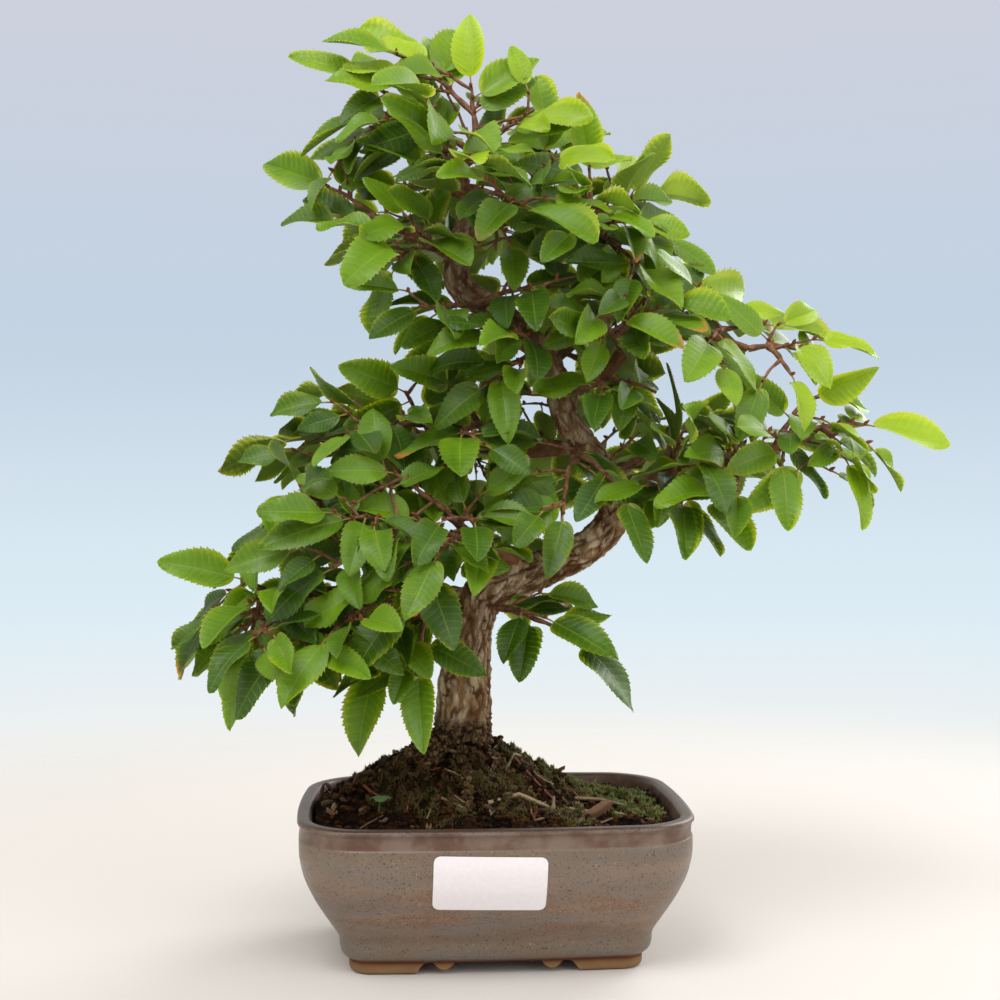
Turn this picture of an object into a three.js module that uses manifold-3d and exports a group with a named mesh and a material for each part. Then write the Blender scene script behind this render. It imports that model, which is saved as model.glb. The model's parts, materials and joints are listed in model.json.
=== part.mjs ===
// A Korean hornbeam bonsai of informal upright style, planted in a glazed rectangular pot.
// Millimetres, +Z up. The pot's long side lies along X and its front faces -Y.
// The origin is on the surface it stands on, under the middle of the whole plant's box.

import * as THREE from "three";
import { mergeVertices } from "three/addons/utils/BufferGeometryUtils.js";
import Module from "manifold-3d";

const wasm = await Module();
wasm.setup();

// Driving dimensions

const GAP = 0.3; // left between pieces that rest on each other
const SEED = 20117;

const POT = { length: 176, width: 126, height: 70, corner: 25, bulge: 4.5, floor: 15 };
const FOOT = { height: 6.2, inset: 21.5, sole: 23.5, thickness: 9, reach: 28, lobe: 41 };
const DRAIN = { radius: 7.5, offset: 34 };
const SCREEN = { side: 22, thickness: 0.8, bar: 2.5, bars: 3 };
const LABEL = { length: 50, height: 25, corner: 3, thickness: 0.4, x: -5, z: 46, turn: -1.5 };
const SOIL = { edge: 64.5, mound: 36, reachX: 52, reachY: 36 };

// How far the pot's wall lies inside its rim, at each height: up the outside, then down the inside
const WALL_OUTSIDE = [
  [20.5, FOOT.height], [18.2, 8.6], [17.4, 12], [17.4, 16], [12.2, 24.4], [7.2, 33], [3, 42.5], [0.9, 52],
  [0.7, 60.5], [1.5, 61.2], [1.4, 66.4], [0, 68], [0.4, 69.3], [1.7, POT.height],
];
const WALL_INSIDE = [[4.9, POT.height], [6.2, 68], [7.6, 50], [14, 31], [23, POT.floor]];

// The tree is measured from its front and stands turned in the pot by this angle
const TREE_TURN = THREE.MathUtils.degToRad(-3.5);

// The trunk's middle line from its foot in the soil to the crown, with its radius: [x, y, z, radius]
const TRUNK = [
  [-16, -2, 60, 17], [-16, -2, 78, 18], [-15, -2, 93, 14.8], [-14.2, -1, 108, 13.2], [-13.2, 0, 130, 12.2],
  [-11, 0, 154, 11], [-2, 1, 170, 10.2], [24, 4, 181, 9], [47, 6, 192, 8.2], [60, 6, 209, 8],
  [52, 5, 230, 7.4], [36, 3, 253, 6.2], [28, 2, 279, 6.2], [8, 3, 301, 6.4], [-16, 2, 318, 6.6],
  [-15, 0, 337, 6], [-11, -1, 356, 4.4],
];

// The limbs, each from inside the trunk outwards, with the radius at its foot and at its end
const LIMBS = {
  low_left: {
    radii: [5.2, 2], line: [[-9, 1, 166], [-28, -6, 170], [-48, -14, 173], [-75, -20, 171], [-104, -26, 171]],
  },
  front_left: { radii: [3.6, 1.7], line: [[14, 2, 182], [-2, -22, 192], [-28, -38, 200]] },
  mid_left: {
    radii: [4.6, 1.8], line: [[6, 2, 178], [-14, 9, 191], [-40, 14, 200], [-70, 12, 205], [-96, 8, 201]],
  },
  upper_left: {
    radii: [4.2, 1.7], line: [[44, 4, 241], [20, 12, 238], [-10, 16, 240], [-40, 16, 243], [-68, 12, 241]],
  },
  low_right: {
    radii: [5, 2.2], line: [[59, 6, 219], [80, 2, 225], [105, -4, 229], [130, -8, 236], [148, -8, 246]],
  },
  back_right: { radii: [3.2, 1.7], line: [[58, 6, 222], [70, 32, 232], [88, 52, 240]] },
  mid_right: {
    radii: [4, 1.8],
    line: [[31, 2, 268], [52, 0, 273], [66, -2, 288], [80, -4, 299], [100, -8, 294], [122, -10, 286]],
  },
  mid_back: { radii: [3.2, 1.7], line: [[28, 2, 280], [36, 28, 288], [46, 50, 296]] },
  crown_right: { radii: [4, 1.8], line: [[-14, 0, 336], [2, 2, 348], [24, 4, 352], [46, 2, 352]] },
  crown_left: { radii: [3.6, 1.8], line: [[-15, 1, 326], [-26, -3, 335], [-42, -8, 342]] },
  crown_back: { radii: [3.2, 1.7], line: [[-13, 0, 344], [-10, 24, 352], [-4, 44, 356]] },
  apex: { radii: [3.8, 1.8], line: [[-11, -1, 350], [-14, -2, 372], [-8, -3, 392]] },
};

// The leafy stems. Each grows from a limb, at a share of its length, and forks to these tips
const STEMS = [
  { on: "low_left", at: 1, tips: [[-114, -30, 177], [-110, -42, 150]] },
  { on: "low_left", at: 0.85, tips: [[-104, -58, 154], [-118, 2, 154]] },
  { on: "low_left", at: 0.7, tips: [[-90, -54, 150], [-84, -28, 150]] },
  { on: "low_left", at: 0.6, tips: [[-90, 22, 156], [-64, 36, 150]] },
  { on: "low_left", at: 0.45, tips: [[-52, -36, 140], [-72, -64, 154]] },
  { on: "low_left", at: 0.25, tips: [[-33, -44, 138], [-40, 24, 148]] },
  { on: "front_left", at: 1, tips: [[-62, -54, 206], [-70, -58, 184]] },
  { on: "front_left", at: 0.75, tips: [[-24, -68, 190], [-38, -62, 170]] },
  { on: "front_left", at: 0.5, tips: [[-44, -42, 226], [-8, -54, 204]] },
  { on: "mid_left", at: 1, tips: [[-108, 0, 196], [-102, 28, 192]] },
  { on: "mid_left", at: 0.8, tips: [[-94, -26, 204], [-86, -12, 222]] },
  { on: "mid_left", at: 0.5, tips: [[-72, 48, 208], [-46, 58, 200]] },
  { on: "mid_left", at: 0.4, tips: [[-56, -14, 216]] },
  { on: "mid_left", at: 0.25, tips: [[-16, 48, 196], [0, 34, 176]] },
  { on: "upper_left", at: 1, tips: [[-95, 4, 244], [-86, -22, 228]] },
  { on: "upper_left", at: 0.85, tips: [[-62, 2, 258], [-82, 40, 240]] },
  { on: "upper_left", at: 0.65, tips: [[-42, 0, 266], [-66, -34, 244]] },
  { on: "upper_left", at: 0.6, tips: [[-54, 56, 248], [-24, 50, 250]] },
  { on: "upper_left", at: 0.4, tips: [[-18, -2, 268], [-14, -34, 244]] },
  { on: "upper_left", at: 0.2, tips: [[10, 52, 246], [34, 44, 256]] },
  { on: "low_right", at: 1, tips: [[178, -6, 250], [164, -24, 234]] },
  { on: "low_right", at: 0.8, tips: [[150, -12, 262], [134, -30, 232]] },
  { on: "low_right", at: 0.6, tips: [[112, -36, 218], [112, -30, 240]] },
  { on: "low_right", at: 0.55, tips: [[126, 24, 242], [104, 36, 232]] },
  { on: "low_right", at: 0.3, tips: [[88, -24, 214], [88, -30, 246]] },
  { on: "back_right", at: 1, tips: [[112, 68, 246], [88, 76, 230]] },
  { on: "back_right", at: 0.5, tips: [[52, 62, 226]] },
  { on: "mid_right", at: 1, tips: [[152, -10, 284], [138, -30, 272]] },
  { on: "mid_right", at: 0.82, tips: [[130, -4, 298], [100, -34, 288]] },
  { on: "mid_right", at: 0.66, tips: [[98, 4, 312], [104, 24, 300]] },
  { on: "mid_right", at: 0.5, tips: [[76, 14, 318], [52, 24, 314]] },
  { on: "mid_right", at: 0.35, tips: [[48, -38, 298], [76, -30, 302]] },
  { on: "mid_right", at: 0.15, tips: [[50, -36, 264], [76, -26, 264]] },
  { on: "mid_back", at: 1, tips: [[64, 70, 304], [26, 66, 306]] },
  { on: "mid_back", at: 0.5, tips: [[66, 40, 276]] },
  { on: "trunk", at: 0.34, tips: [[24, -34, 160], [38, -36, 150]] },
  { on: "trunk", at: 0.66, tips: [[32, -42, 208], [60, -34, 216]] },
  { on: "trunk", at: 0.75, tips: [[10, -40, 290], [-2, -26, 268]] },
  { on: "trunk", at: 0.83, tips: [[-32, -34, 302], [24, -34, 312]] },
  { on: "crown_right", at: 1, tips: [[80, -2, 342], [76, 14, 366]] },
  { on: "crown_right", at: 0.85, tips: [[68, -24, 324], [46, -10, 372]] },
  { on: "crown_right", at: 0.7, tips: [[52, -38, 346]] },
  { on: "crown_right", at: 0.55, tips: [[44, 42, 364], [34, 30, 338]] },
  { on: "crown_right", at: 0.4, tips: [[28, -32, 370], [30, 4, 380]] },
  { on: "crown_left", at: 1, tips: [[-70, -14, 346], [-78, -2, 364]] },
  { on: "crown_left", at: 0.6, tips: [[-54, 26, 340], [-46, -6, 326]] },
  { on: "crown_left", at: 0.45, tips: [[-44, -44, 330]] },
  { on: "crown_back", at: 1, tips: [[12, 66, 360], [-36, 58, 352]] },
  { on: "apex", at: 1, tips: [[-10, -4, 412], [-34, 2, 424]] },
  { on: "apex", at: 0.75, tips: [[-62, -8, 414], [-72, -2, 384]] },
  { on: "apex", at: 0.6, tips: [[20, -10, 400], [8, 36, 402]] },
  { on: "apex", at: 0.45, tips: [[-30, -38, 396], [-46, 30, 378]] },
  { on: "apex", at: 0.1, tips: [[-12, -52, 366], [14, -50, 346]] },
];

const STEM = { foot: 1.5, tip: 0.9, lift: 0.12, fork: 0.3 };
const LEAF = { length: 33, width: 0.54, thickness: 0.7, stalk: 5, stalkHalf: 0.6 };
const SPACING = 14; // between the leaves along a stem
const CLEARANCE = { blade: 5.1, wood: 2.4, ownStem: 0.7 };
const TRIES = 16;

// Shares of a blade's length, and of the smooth outline's width there: a tooth stands at 1, a notch at 0.84
const BLADE_ROWS = [[0.1, 0.95], [0.36, 1.04], [0.47, 0.84], [0.74, 1]];

const material = (color, roughness, metalness = 0) =>
  new THREE.MeshStandardMaterial({ color, roughness, metalness });
const GLAZE = material(0x6f6c68, 0.35);
const EARTH = material(0x33261c, 0.95);
const BARK = material(0x7d6350, 0.9);
const FOLIAGE = material(0x4f8a2a, 0.55);
const PLASTIC = material(0x23282b, 0.6);
const PAPER = material(0xe9e4e6, 0.7);

// Solids

// A closed surface through rings of points that run anticlockwise seen from the last ring's end.
function loft(rings) {
  const count = rings[0].length;
  const last = (rings.length - 1) * count;
  const index = [];
  for (let start = 0; start < last; start += count) {
    for (let i = 0; i < count; i++) {
      const next = (i + 1) % count;
      const [a, b] = [start + i, start + next];
      index.push(a, b, b + count, a, b + count, a + count);
    }
  }
  for (let i = 1; i < count - 1; i++) {
    index.push(0, i + 1, i, last, last + i, last + i + 1);
  }
  return new THREE.BufferGeometry().setFromPoints(rings.flat()).setIndex(index);
}

// A three.js geometry as a solid that can be cut and joined.
function solid(geometry) {
  const bare = new THREE.BufferGeometry();
  const loose = geometry.index ? geometry.toNonIndexed() : geometry;
  bare.setAttribute("position", loose.getAttribute("position"));
  const merged = mergeVertices(bare, 1e-3);
  const triVerts = new Uint32Array(merged.index.array);
  const vertProperties = merged.attributes.position.array;
  return new wasm.Manifold(new wasm.Mesh({ numProp: 3, vertProperties, triVerts }));
}

const joined = (solids) => solids.reduce((whole, next) => whole.add(next));
const largest = (body) => body.decompose().reduce((a, b) => (a.volume() > b.volume() ? a : b));

function mesh(name, body, finish) {
  const { vertProperties, triVerts } = body.getMesh();
  const geometry = new THREE.BufferGeometry();
  geometry.setAttribute("position", new THREE.BufferAttribute(vertProperties, 3)).setIndex([...triVerts]);
  geometry.computeVertexNormals();
  const made = new THREE.Mesh(geometry, finish);
  made.name = name;
  return made;
}

// A flat shape, drawn in X and Z, extruded along +Y from y.
const slab = (shape, y, depth) =>
  solid(new THREE.ExtrudeGeometry(shape, { depth, bevelEnabled: false, curveSegments: 4 })
    .rotateX(Math.PI / 2).translate(0, y + depth, 0));

// Pot

// The pot's plan at a distance inside its rim: a rounded rectangle whose sides bulge.
function plan(inset, z) {
  const [a, b] = [POT.length / 2 - inset, POT.width / 2 - inset];
  const r = Math.max(POT.corner - 0.75 * inset, 8);
  const points = [];
  const quarter = [[a - r, b - r, 0], [r - a, b - r, 1], [r - a, r - b, 2], [a - r, r - b, 3]];
  quarter.forEach(([x, y, turn], q) => {
    for (const share of [0, 1 / 3, 2 / 3, 1]) {
      const angle = (turn + share) * (Math.PI / 2);
      points.push([x + r * Math.cos(angle), y + r * Math.sin(angle)]);
    }
    const next = quarter[(q + 1) % 4];
    const [ownX, ownY] = [Math.sign(x) * a, Math.sign(y) * b];
    const [start, end] = q % 2 ? [[ownX, y], [ownX, next[1]]] : [[x, ownY], [next[0], ownY]];
    for (const share of q % 2 ? [0.5] : [0.25, 0.5, 0.75]) {
      points.push([start[0] + (end[0] - start[0]) * share, start[1] + (end[1] - start[1]) * share]);
    }
  });
  const bulge = POT.bulge * (1 - inset / 40);
  return points.map(([x, y]) => {
    const [u, v] = [x / a, y / b];
    return new THREE.Vector3(x + bulge * u * (1 - v * v), y + bulge * v * (1 - u * u), z);
  });
}

const wall = (profile, grow = 0) => profile.map(([inset, z]) => plan(inset - grow, z));

// The gap under the pot between two feet, whose ends are cloud-shaped, with or without a lobe beside each.
function footGap(half, lobed) {
  const { height, reach, lobe } = FOOT;
  const top = height - 0.8;
  const gap = new THREE.Shape().moveTo(reach - half, -1).lineTo(reach - half, 0);
  gap.bezierCurveTo(reach - half + 3, 1, reach - half + 3, top, reach - half + 7, top);
  if (lobed) {
    gap.quadraticCurveTo(lobe - half, 4 - top, lobe - half + 5, top);
    gap.lineTo(half - lobe - 5, top);
    gap.quadraticCurveTo(half - lobe, 4 - top, half - reach - 7, top);
  } else {
    gap.lineTo(half - reach - 7, top);
  }
  gap.bezierCurveTo(half - reach - 3, top, half - reach - 3, 1, half - reach, 0);
  return gap.lineTo(half - reach, -1).closePath();
}

function pot() {
  const { height, inset, sole, thickness } = FOOT;
  const into = height + 1;
  const ring = solid(loft([plan(sole, 0), plan(inset, 1.8), plan(inset, into)]))
    .subtract(solid(loft([plan(inset + thickness, -1), plan(inset + thickness, into + 1)])));
  const front = slab(footGap(POT.length / 2 - inset, true), -POT.width, 2 * POT.width);
  const side = slab(footGap(POT.width / 2 - inset, false), -POT.length, 2 * POT.length).rotate([0, 0, 90]);
  const body = solid(loft(wall([...WALL_OUTSIDE, ...WALL_INSIDE])));
  const drains = [-1, 1].map((way) =>
    solid(new THREE.CylinderGeometry(DRAIN.radius, DRAIN.radius, 2 * POT.floor, 14).rotateX(Math.PI / 2))
      .translate([way * DRAIN.offset, 0, POT.floor]));
  return body.add(ring.subtract(front).subtract(side)).subtract(joined(drains));
}

// A square of plastic mesh that keeps the soil in over a drain.
function screen(way) {
  const { side, thickness, bar, bars } = SCREEN;
  const strips = [];
  for (let i = 0; i < bars; i++) {
    const place = (i / (bars - 1) - 0.5) * (side - bar);
    strips.push(solid(new THREE.BoxGeometry(side, bar, thickness)).translate([0, place, 0]));
    strips.push(solid(new THREE.BoxGeometry(bar, side, thickness)).translate([place, 0, 0]));
  }
  return joined(strips).translate([way * DRAIN.offset, 0, POT.floor + GAP + thickness / 2]);
}

// A blank paper label on the pot's front, with the same facets as the wall behind it.
function label() {
  const { length, height, corner, thickness, x, z, turn } = LABEL;
  const [a, b] = [length / 2, height / 2];
  const rounded = new THREE.Shape().moveTo(corner - a, -b);
  rounded.lineTo(a - corner, -b).quadraticCurveTo(a, -b, a, corner - b);
  rounded.lineTo(a, b - corner).quadraticCurveTo(a, b, a - corner, b);
  rounded.lineTo(corner - a, b).quadraticCurveTo(-a, b, -a, b - corner);
  rounded.lineTo(-a, corner - b).quadraticCurveTo(-a, -b, corner - a, -b);
  const extrusion = { depth: POT.width, bevelEnabled: false, curveSegments: 2 };
  const shape = solid(new THREE.ExtrudeGeometry(rounded, extrusion).rotateX(Math.PI / 2))
    .rotate([0, -turn, 0]).translate([x, 0, z]);
  const outside = WALL_OUTSIDE.slice(3, 9);
  const around = solid(loft(wall(outside, GAP + thickness))).subtract(solid(loft(wall(outside, GAP))));
  return around.intersect(shape);
}

// Tree

const UP = new THREE.Vector3(0, 0, 1);
const planted = ([x, y, z]) => new THREE.Vector3(x, y, z).applyAxisAngle(UP, TREE_TURN);
const line = (points) => new THREE.CatmullRomCurve3(points.map(planted), false, "catmullrom", 0.5);

// Every piece of wood as a curve with the radius along it.
const WOOD = {};
for (const [name, { radii, line: points }] of Object.entries(LIMBS)) {
  const radius = (t) => THREE.MathUtils.lerp(...radii, t);
  WOOD[name] = { curve: line(points), radius, steps: 2 * (points.length - 1), sides: 6 };
}
WOOD.trunk = {
  curve: line(TRUNK),
  radius: (t) => {
    const place = t * (TRUNK.length - 1);
    const below = Math.min(Math.floor(place), TRUNK.length - 2);
    return THREE.MathUtils.lerp(TRUNK[below][3], TRUNK[below + 1][3], place - below);
  },
  steps: 2 * (TRUNK.length - 1),
  sides: 12,
};

// A tube round a curve. flute(t, side) scales the radius at a corner of the section; grow thickens the whole.
function tube({ curve, radius, steps, sides }, grow = 0, flute = () => 1) {
  const { normals, binormals } = curve.computeFrenetFrames(steps);
  const rings = [];
  for (let step = 0; step <= steps; step++) {
    const t = step / steps;
    const end = step === 0 ? -1 : step === steps ? 1 : 0;
    const centre = curve.getPoint(t).addScaledVector(curve.getTangent(t), end * grow);
    rings.push(Array.from({ length: sides }, (_, side) => {
      const angle = (2 * Math.PI * side) / sides;
      const r = radius(t) * flute(t, side) + grow;
      return centre.clone()
        .addScaledVector(normals[step], r * Math.cos(angle))
        .addScaledVector(binormals[step], r * Math.sin(angle));
    }));
  }
  return solid(loft(rings));
}

// The trunk's bark stands in ridges, and its foot spreads into surface roots.
function trunkFlute(t, side) {
  const ridge = side % 2 ? 0.95 : 1.05;
  const root = Math.max(0, 1 - t / 0.17) * (side % 3 ? -0.14 : 0.3);
  return ridge + root;
}

function wood(grow) {
  const { trunk, ...limbs } = WOOD;
  return joined([tube(trunk, grow, trunkFlute), ...Object.values(limbs).map((limb) => tube(limb, grow))]);
}

// Soil heaped round the trunk, level with the pot's edge elsewhere.
function soilHeight(x, y) {
  const [u, v] = [(x - TRUNK[1][0]) / SOIL.reachX, (y - TRUNK[1][1]) / SOIL.reachY];
  const lumps = 1.1 * Math.sin(x * 0.21 + 1) * Math.cos(y * 0.17) + 0.7 * Math.sin(y * 0.31 + x * 0.11);
  return SOIL.edge + SOIL.mound * Math.exp(-((u * u + v * v) ** 1.1)) + lumps;
}

function soil(grownWood) {
  const sides = [...WALL_INSIDE].reverse().slice(0, 3);
  const rings = sides.map(([inset, z], i) => plan(inset + GAP + 0.2, z + (i === 0 ? GAP : 0)));
  const middle = new THREE.Vector3(TRUNK[1][0], TRUNK[1][1], 0);
  for (const share of [1, 0.86, 0.7, 0.54, 0.38, 0.2]) {
    const ring = plan(7.4 + GAP, 0).map((p) => p.lerp(middle, 1 - share));
    rings.push(ring.map((p) => p.setZ(soilHeight(p.x, p.y))));
  }
  const pads = [-1, 1].map((way) =>
    solid(new THREE.BoxGeometry(SCREEN.side + 2 * GAP, SCREEN.side + 2 * GAP, 2 * (SCREEN.thickness + GAP)))
      .translate([way * DRAIN.offset, 0, POT.floor + GAP]));
  return solid(loft(rings)).subtract(joined(pads)).subtract(grownWood);
}

// Leafy stems

// A number from 0 to 1 that depends only on the keys, so that each leaf's draws stand alone.
function draw(...keys) {
  let h = SEED;
  for (const key of keys) {
    h = Math.imul(h ^ (key + 1), 0x9e3779b1);
    h = Math.imul(h ^ (h >>> 15), 0x85ebca6b);
    h ^= h >>> 13;
  }
  return (h >>> 0) / 2 ** 32;
}

// Each tip's path, with the point where a fork leaves the stem's first path.
function stemPaths({ on, at, tips }, stem) {
  const paths = [];
  tips.forEach((tip, fork) => {
    const foot = fork ? paths[0].getPoint(STEM.fork) : WOOD[on].curve.getPoint(at);
    const end = planted(tip);
    const bow = foot.distanceTo(end) * STEM.lift;
    const middle = foot.clone().lerp(end, 0.5).addScaledVector(UP, bow * (0.4 + draw(stem, fork, 1)));
    middle.x += bow * (draw(stem, fork, 2) - 0.5);
    paths.push(new THREE.QuadraticBezierCurve3(foot, middle, end));
  });
  return paths;
}

// A blade's half width at t, as a share of its widest: round at its base, widest at 0.4, and drawn out to its tip.
const outline = (t) => (t / 0.4) ** 0.5 * (Math.max(1 - t, 0) / 0.6) ** 0.75;

// A point on a blade: along its length t, across it by v half-widths, and off its surface by lift.
function onBlade(leaf, t, v, lift = 0) {
  const turn = leaf.bend * t;
  const normal = leaf.normal.clone().multiplyScalar(Math.cos(turn))
    .addScaledVector(leaf.along, Math.sin(turn));
  return leaf.foot.clone()
    .addScaledVector(leaf.along, LEAF.stalk + (leaf.length * Math.sin(turn)) / leaf.bend)
    .addScaledVector(leaf.normal, (-leaf.length * (1 - Math.cos(turn))) / leaf.bend)
    .addScaledVector(leaf.side, v * leaf.half * outline(t))
    .addScaledVector(normal, lift);
}

// The way that leaves face: up, and away from the middle of the crown, mostly to the front or the back.
function facing(place) {
  const { x, y } = place.clone().sub(planted([10, 8, 0]));
  const out = new THREE.Vector3(0.35 * x, y + (y < 0 ? -25 : 25), 0).normalize();
  return out.multiplyScalar(1.1).add(new THREE.Vector3(0, 0, 1)).normalize();
}

// A twig's own directions at t: along it, to its right, and the way its leaves face.
function directions(path, t) {
  const tangent = path.getTangent(t);
  const tip = path.getPoint(1);
  const right = tip.clone().sub(path.getPoint(0)).cross(facing(tip));
  const top = right.cross(tangent).normalize();
  return { tangent, right: tangent.clone().cross(top), top };
}

// The leaf at a place on a path, as one of several tries draws it.
function leafAt(path, t, terminal, hand, keys) {
  const foot = path.getPoint(t);
  const { tangent, right, top } = directions(path, t);
  const across = right.clone().multiplyScalar(hand);
  const [a, b, c, d, e] = [3, 4, 5, 6, 7].map((key) => draw(...keys, key));
  const spread = terminal ? 0.5 * (a - 0.5) : 0.84 + 0.34 * a;
  const crown = THREE.MathUtils.clamp((foot.z - 330) / 90, 0, 1);
  const along = tangent.clone().multiplyScalar(Math.cos(spread)).addScaledVector(across, Math.sin(spread));
  along.z = 0.75 * along.z - THREE.MathUtils.lerp(0.02 + 0.34 * b, 0.34 * b - 0.28, crown);
  along.normalize();
  const normal = top.clone().addScaledVector(across, 0.6 * (c - 0.5)).addScaledVector(tangent, 0.2);
  normal.addScaledVector(along, -normal.dot(along)).normalize();
  const length = LEAF.length * (0.76 + 0.4 * d) * (terminal ? 1.06 : 1);
  const half = (length * LEAF.width) / 2;
  const side = along.clone().cross(normal);
  return { foot, t, hand: terminal ? 0 : hand, along, normal, side, length, half, bend: 0.1 + 0.6 * e };
}

// Points spread over a leaf, close enough together that two leaves cannot cross between them.
const steps = (first, last, count) =>
  Array.from({ length: count }, (_, i) => first + ((last - first) * i) / (count - 1));

function leafPoints(leaf) {
  const rows = steps(0.1, 0.98, 9).map((t) => steps(-1, 1, 7).map((v) => onBlade(leaf, t, v)));
  const lines = [0, 3, 6].map((i) => (share) => leaf.foot.clone().lerp(rows[0][i], share));
  const base = [0.33, 0.66].flatMap((share) => lines.map((along) => along(share)));
  return { base, blade: rows.flat(), middle: rows[4][3] };
}

// Balls along every curve of wood, which a leaf keeps clear of.
function balls(curve, radius, stem) {
  const shares = steps(0, 1, Math.ceil(curve.getLength() / 3) + 1);
  return shares.map((share) => ({ at: curve.getPoint(share), radius: radius(share), stem }));
}

function clear({ base, blade, middle }, stem, leaves, wooden) {
  const points = [...base, ...blade];
  for (const other of leaves) {
    if (middle.distanceTo(other.middle) > 46) continue;
    const others = [...other.base, ...other.blade];
    if (points.some((p) => others.some((q) => p.distanceTo(q) < CLEARANCE.blade))) return false;
  }
  return !wooden.some((ball) => {
    const [own, least] = ball.stem === stem ? [blade, CLEARANCE.ownStem] : [points, CLEARANCE.wood];
    return own.some((p) => p.distanceTo(ball.at) < ball.radius + least);
  });
}

// Leaves stand alternately along every path, and the tips are filled first.
function placeLeaves(stems) {
  const wooden = Object.values(WOOD).flatMap(({ curve, radius }) => balls(curve, radius, -1));
  stems.forEach((paths, stem) => paths.forEach((path) => wooden.push(...balls(path, () => STEM.foot, stem))));
  const leaves = [];
  for (let round = 0; round < 8; round++) {
    stems.forEach((paths, stem) => paths.forEach((path, fork) => {
      const t = 1 - (round * SPACING) / path.getLength();
      if (t < (fork ? 0.12 : 0.2)) return;
      for (let attempt = 0; attempt < TRIES; attempt++) {
        const hand = (round + stem + attempt) % 2 ? 1 : -1;
        const leaf = leafAt(path, t, round === 0, hand, [stem, fork, round, attempt]);
        const points = leafPoints(leaf);
        if (clear(points, stem, leaves, wooden)) {
          leaves.push({ ...leaf, ...points, stem, fork });
          return;
        }
      }
    }));
  }
  return leaves;
}

// The three corners of a twig's section: left, right and underneath.
function section(path, t) {
  const { right, top } = directions(path, t);
  const radius = THREE.MathUtils.lerp(STEM.foot, STEM.tip, t);
  return [[-0.87, 0.5], [0.87, 0.5], [0, -1]].map(([x, y]) =>
    path.getPoint(t).addScaledVector(right, x * radius).addScaledVector(top, y * radius));
}

// A three-sided twig whose leaves are one surface with it. Each toothed blade grows from its side.
function twig(path, leaves) {
  const points = [];
  const index = [];
  const place = (made) => made.map((point) => points.push(point) - 1);
  const face = (...corners) => {
    for (let i = 2; i < corners.length; i++) {
      const [a, b, c] = [corners[0], corners[i - 1], corners[i]];
      if (a !== b && b !== c && c !== a) index.push(a, b, c);
    }
  };
  // A row across a blade holds its left top, left bottom, right top and right bottom corners
  const grow = (leaf, root) => {
    let row = root;
    for (const [t, share] of BLADE_ROWS) {
      const thick = LEAF.thickness / 2;
      const corners = [[-share, thick], [-share, -thick], [share, thick], [share, -thick]];
      const next = place(corners.map(([v, lift]) => onBlade(leaf, t, v, lift)));
      face(row[0], row[2], next[2], next[0]);
      face(row[1], next[1], next[3], row[3]);
      face(row[0], next[0], next[1], row[1]);
      face(row[2], row[3], next[3], next[2]);
      row = next;
    }
    const [top, bottom] = place([0.5, -0.5].map((side) => onBlade(leaf, 1, 0, side * LEAF.thickness)));
    face(row[0], row[2], top);
    face(row[1], bottom, row[3]);
    face(row[0], top, bottom, row[1]);
    face(row[2], row[3], bottom, top);
  };
  const half = LEAF.stalkHalf / path.getLength();
  let last = place(section(path, 0));
  face(last[0], last[2], last[1]);
  const run = (next, hand) => {
    face(last[0], last[1], next[1], next[0]);
    if (hand !== 1) face(last[1], last[2], next[2], next[1]);
    if (hand !== -1) face(last[2], last[0], next[0], next[2]);
  };
  for (const leaf of leaves.toSorted((a, b) => a.t - b.t)) {
    const near = place(section(path, leaf.t - half));
    run(near);
    last = near;
    if (leaf.hand === 0) {
      grow(leaf, [near[0], near[2], near[1], near[2]]);
      return solid(new THREE.BufferGeometry().setFromPoints(points).setIndex(index));
    }
    const far = place(section(path, leaf.t + half));
    run(far, leaf.hand);
    const right = leaf.hand === 1;
    grow(leaf, right ? [far[1], far[2], near[1], near[2]] : [near[0], near[2], far[0], far[2]]);
    last = far;
  }
  const end = place(section(path, 1));
  run(end);
  face(...end);
  return solid(new THREE.BufferGeometry().setFromPoints(points).setIndex(index));
}

function leafyStem(paths, leaves, grownWood) {
  const twigs = paths.map((path, fork) => twig(path, leaves.filter((leaf) => leaf.fork === fork)));
  return largest(joined(twigs).subtract(grownWood));
}

// The whole plant

const bonsai = new THREE.Group();
const grownWood = wood(GAP);
bonsai.add(mesh("pot", pot(), GLAZE));
bonsai.add(mesh("label", label(), PAPER));
bonsai.add(mesh("drain_screen_left", screen(-1), PLASTIC));
bonsai.add(mesh("drain_screen_right", screen(1), PLASTIC));
bonsai.add(mesh("soil", soil(grownWood), EARTH));
bonsai.add(mesh("trunk_and_limbs", wood(0), BARK));

const stems = STEMS.map(stemPaths);
const leaves = placeLeaves(stems);
stems.forEach((paths, stem) => {
  const own = leaves.filter((leaf) => leaf.stem === stem);
  const name = `leafy_stem_${String(stem + 1).padStart(2, "0")}_${STEMS[stem].on}`;
  bonsai.add(mesh(name, leafyStem(paths, own, grownWood), FOLIAGE));
});

const box = new THREE.Box3().setFromObject(bonsai);
const centre = box.getCenter(new THREE.Vector3());
bonsai.position.set(-centre.x, -centre.y, 0);

export default bonsai;
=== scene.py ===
"""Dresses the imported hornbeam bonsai: toothed leaves, fluted wood, mossy soil and a glazed pot.

The pot and the tree are measured in millimetres from the middle of the pot's foot, with the
front towards -Y. A Ground turns those places into the row's metres.
"""

import bpy
import json
import logging
import math
from collections.abc import Callable
from dataclasses import dataclass, field
from enum import Enum

import numpy as np
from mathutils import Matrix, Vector, kdtree, noise

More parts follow.
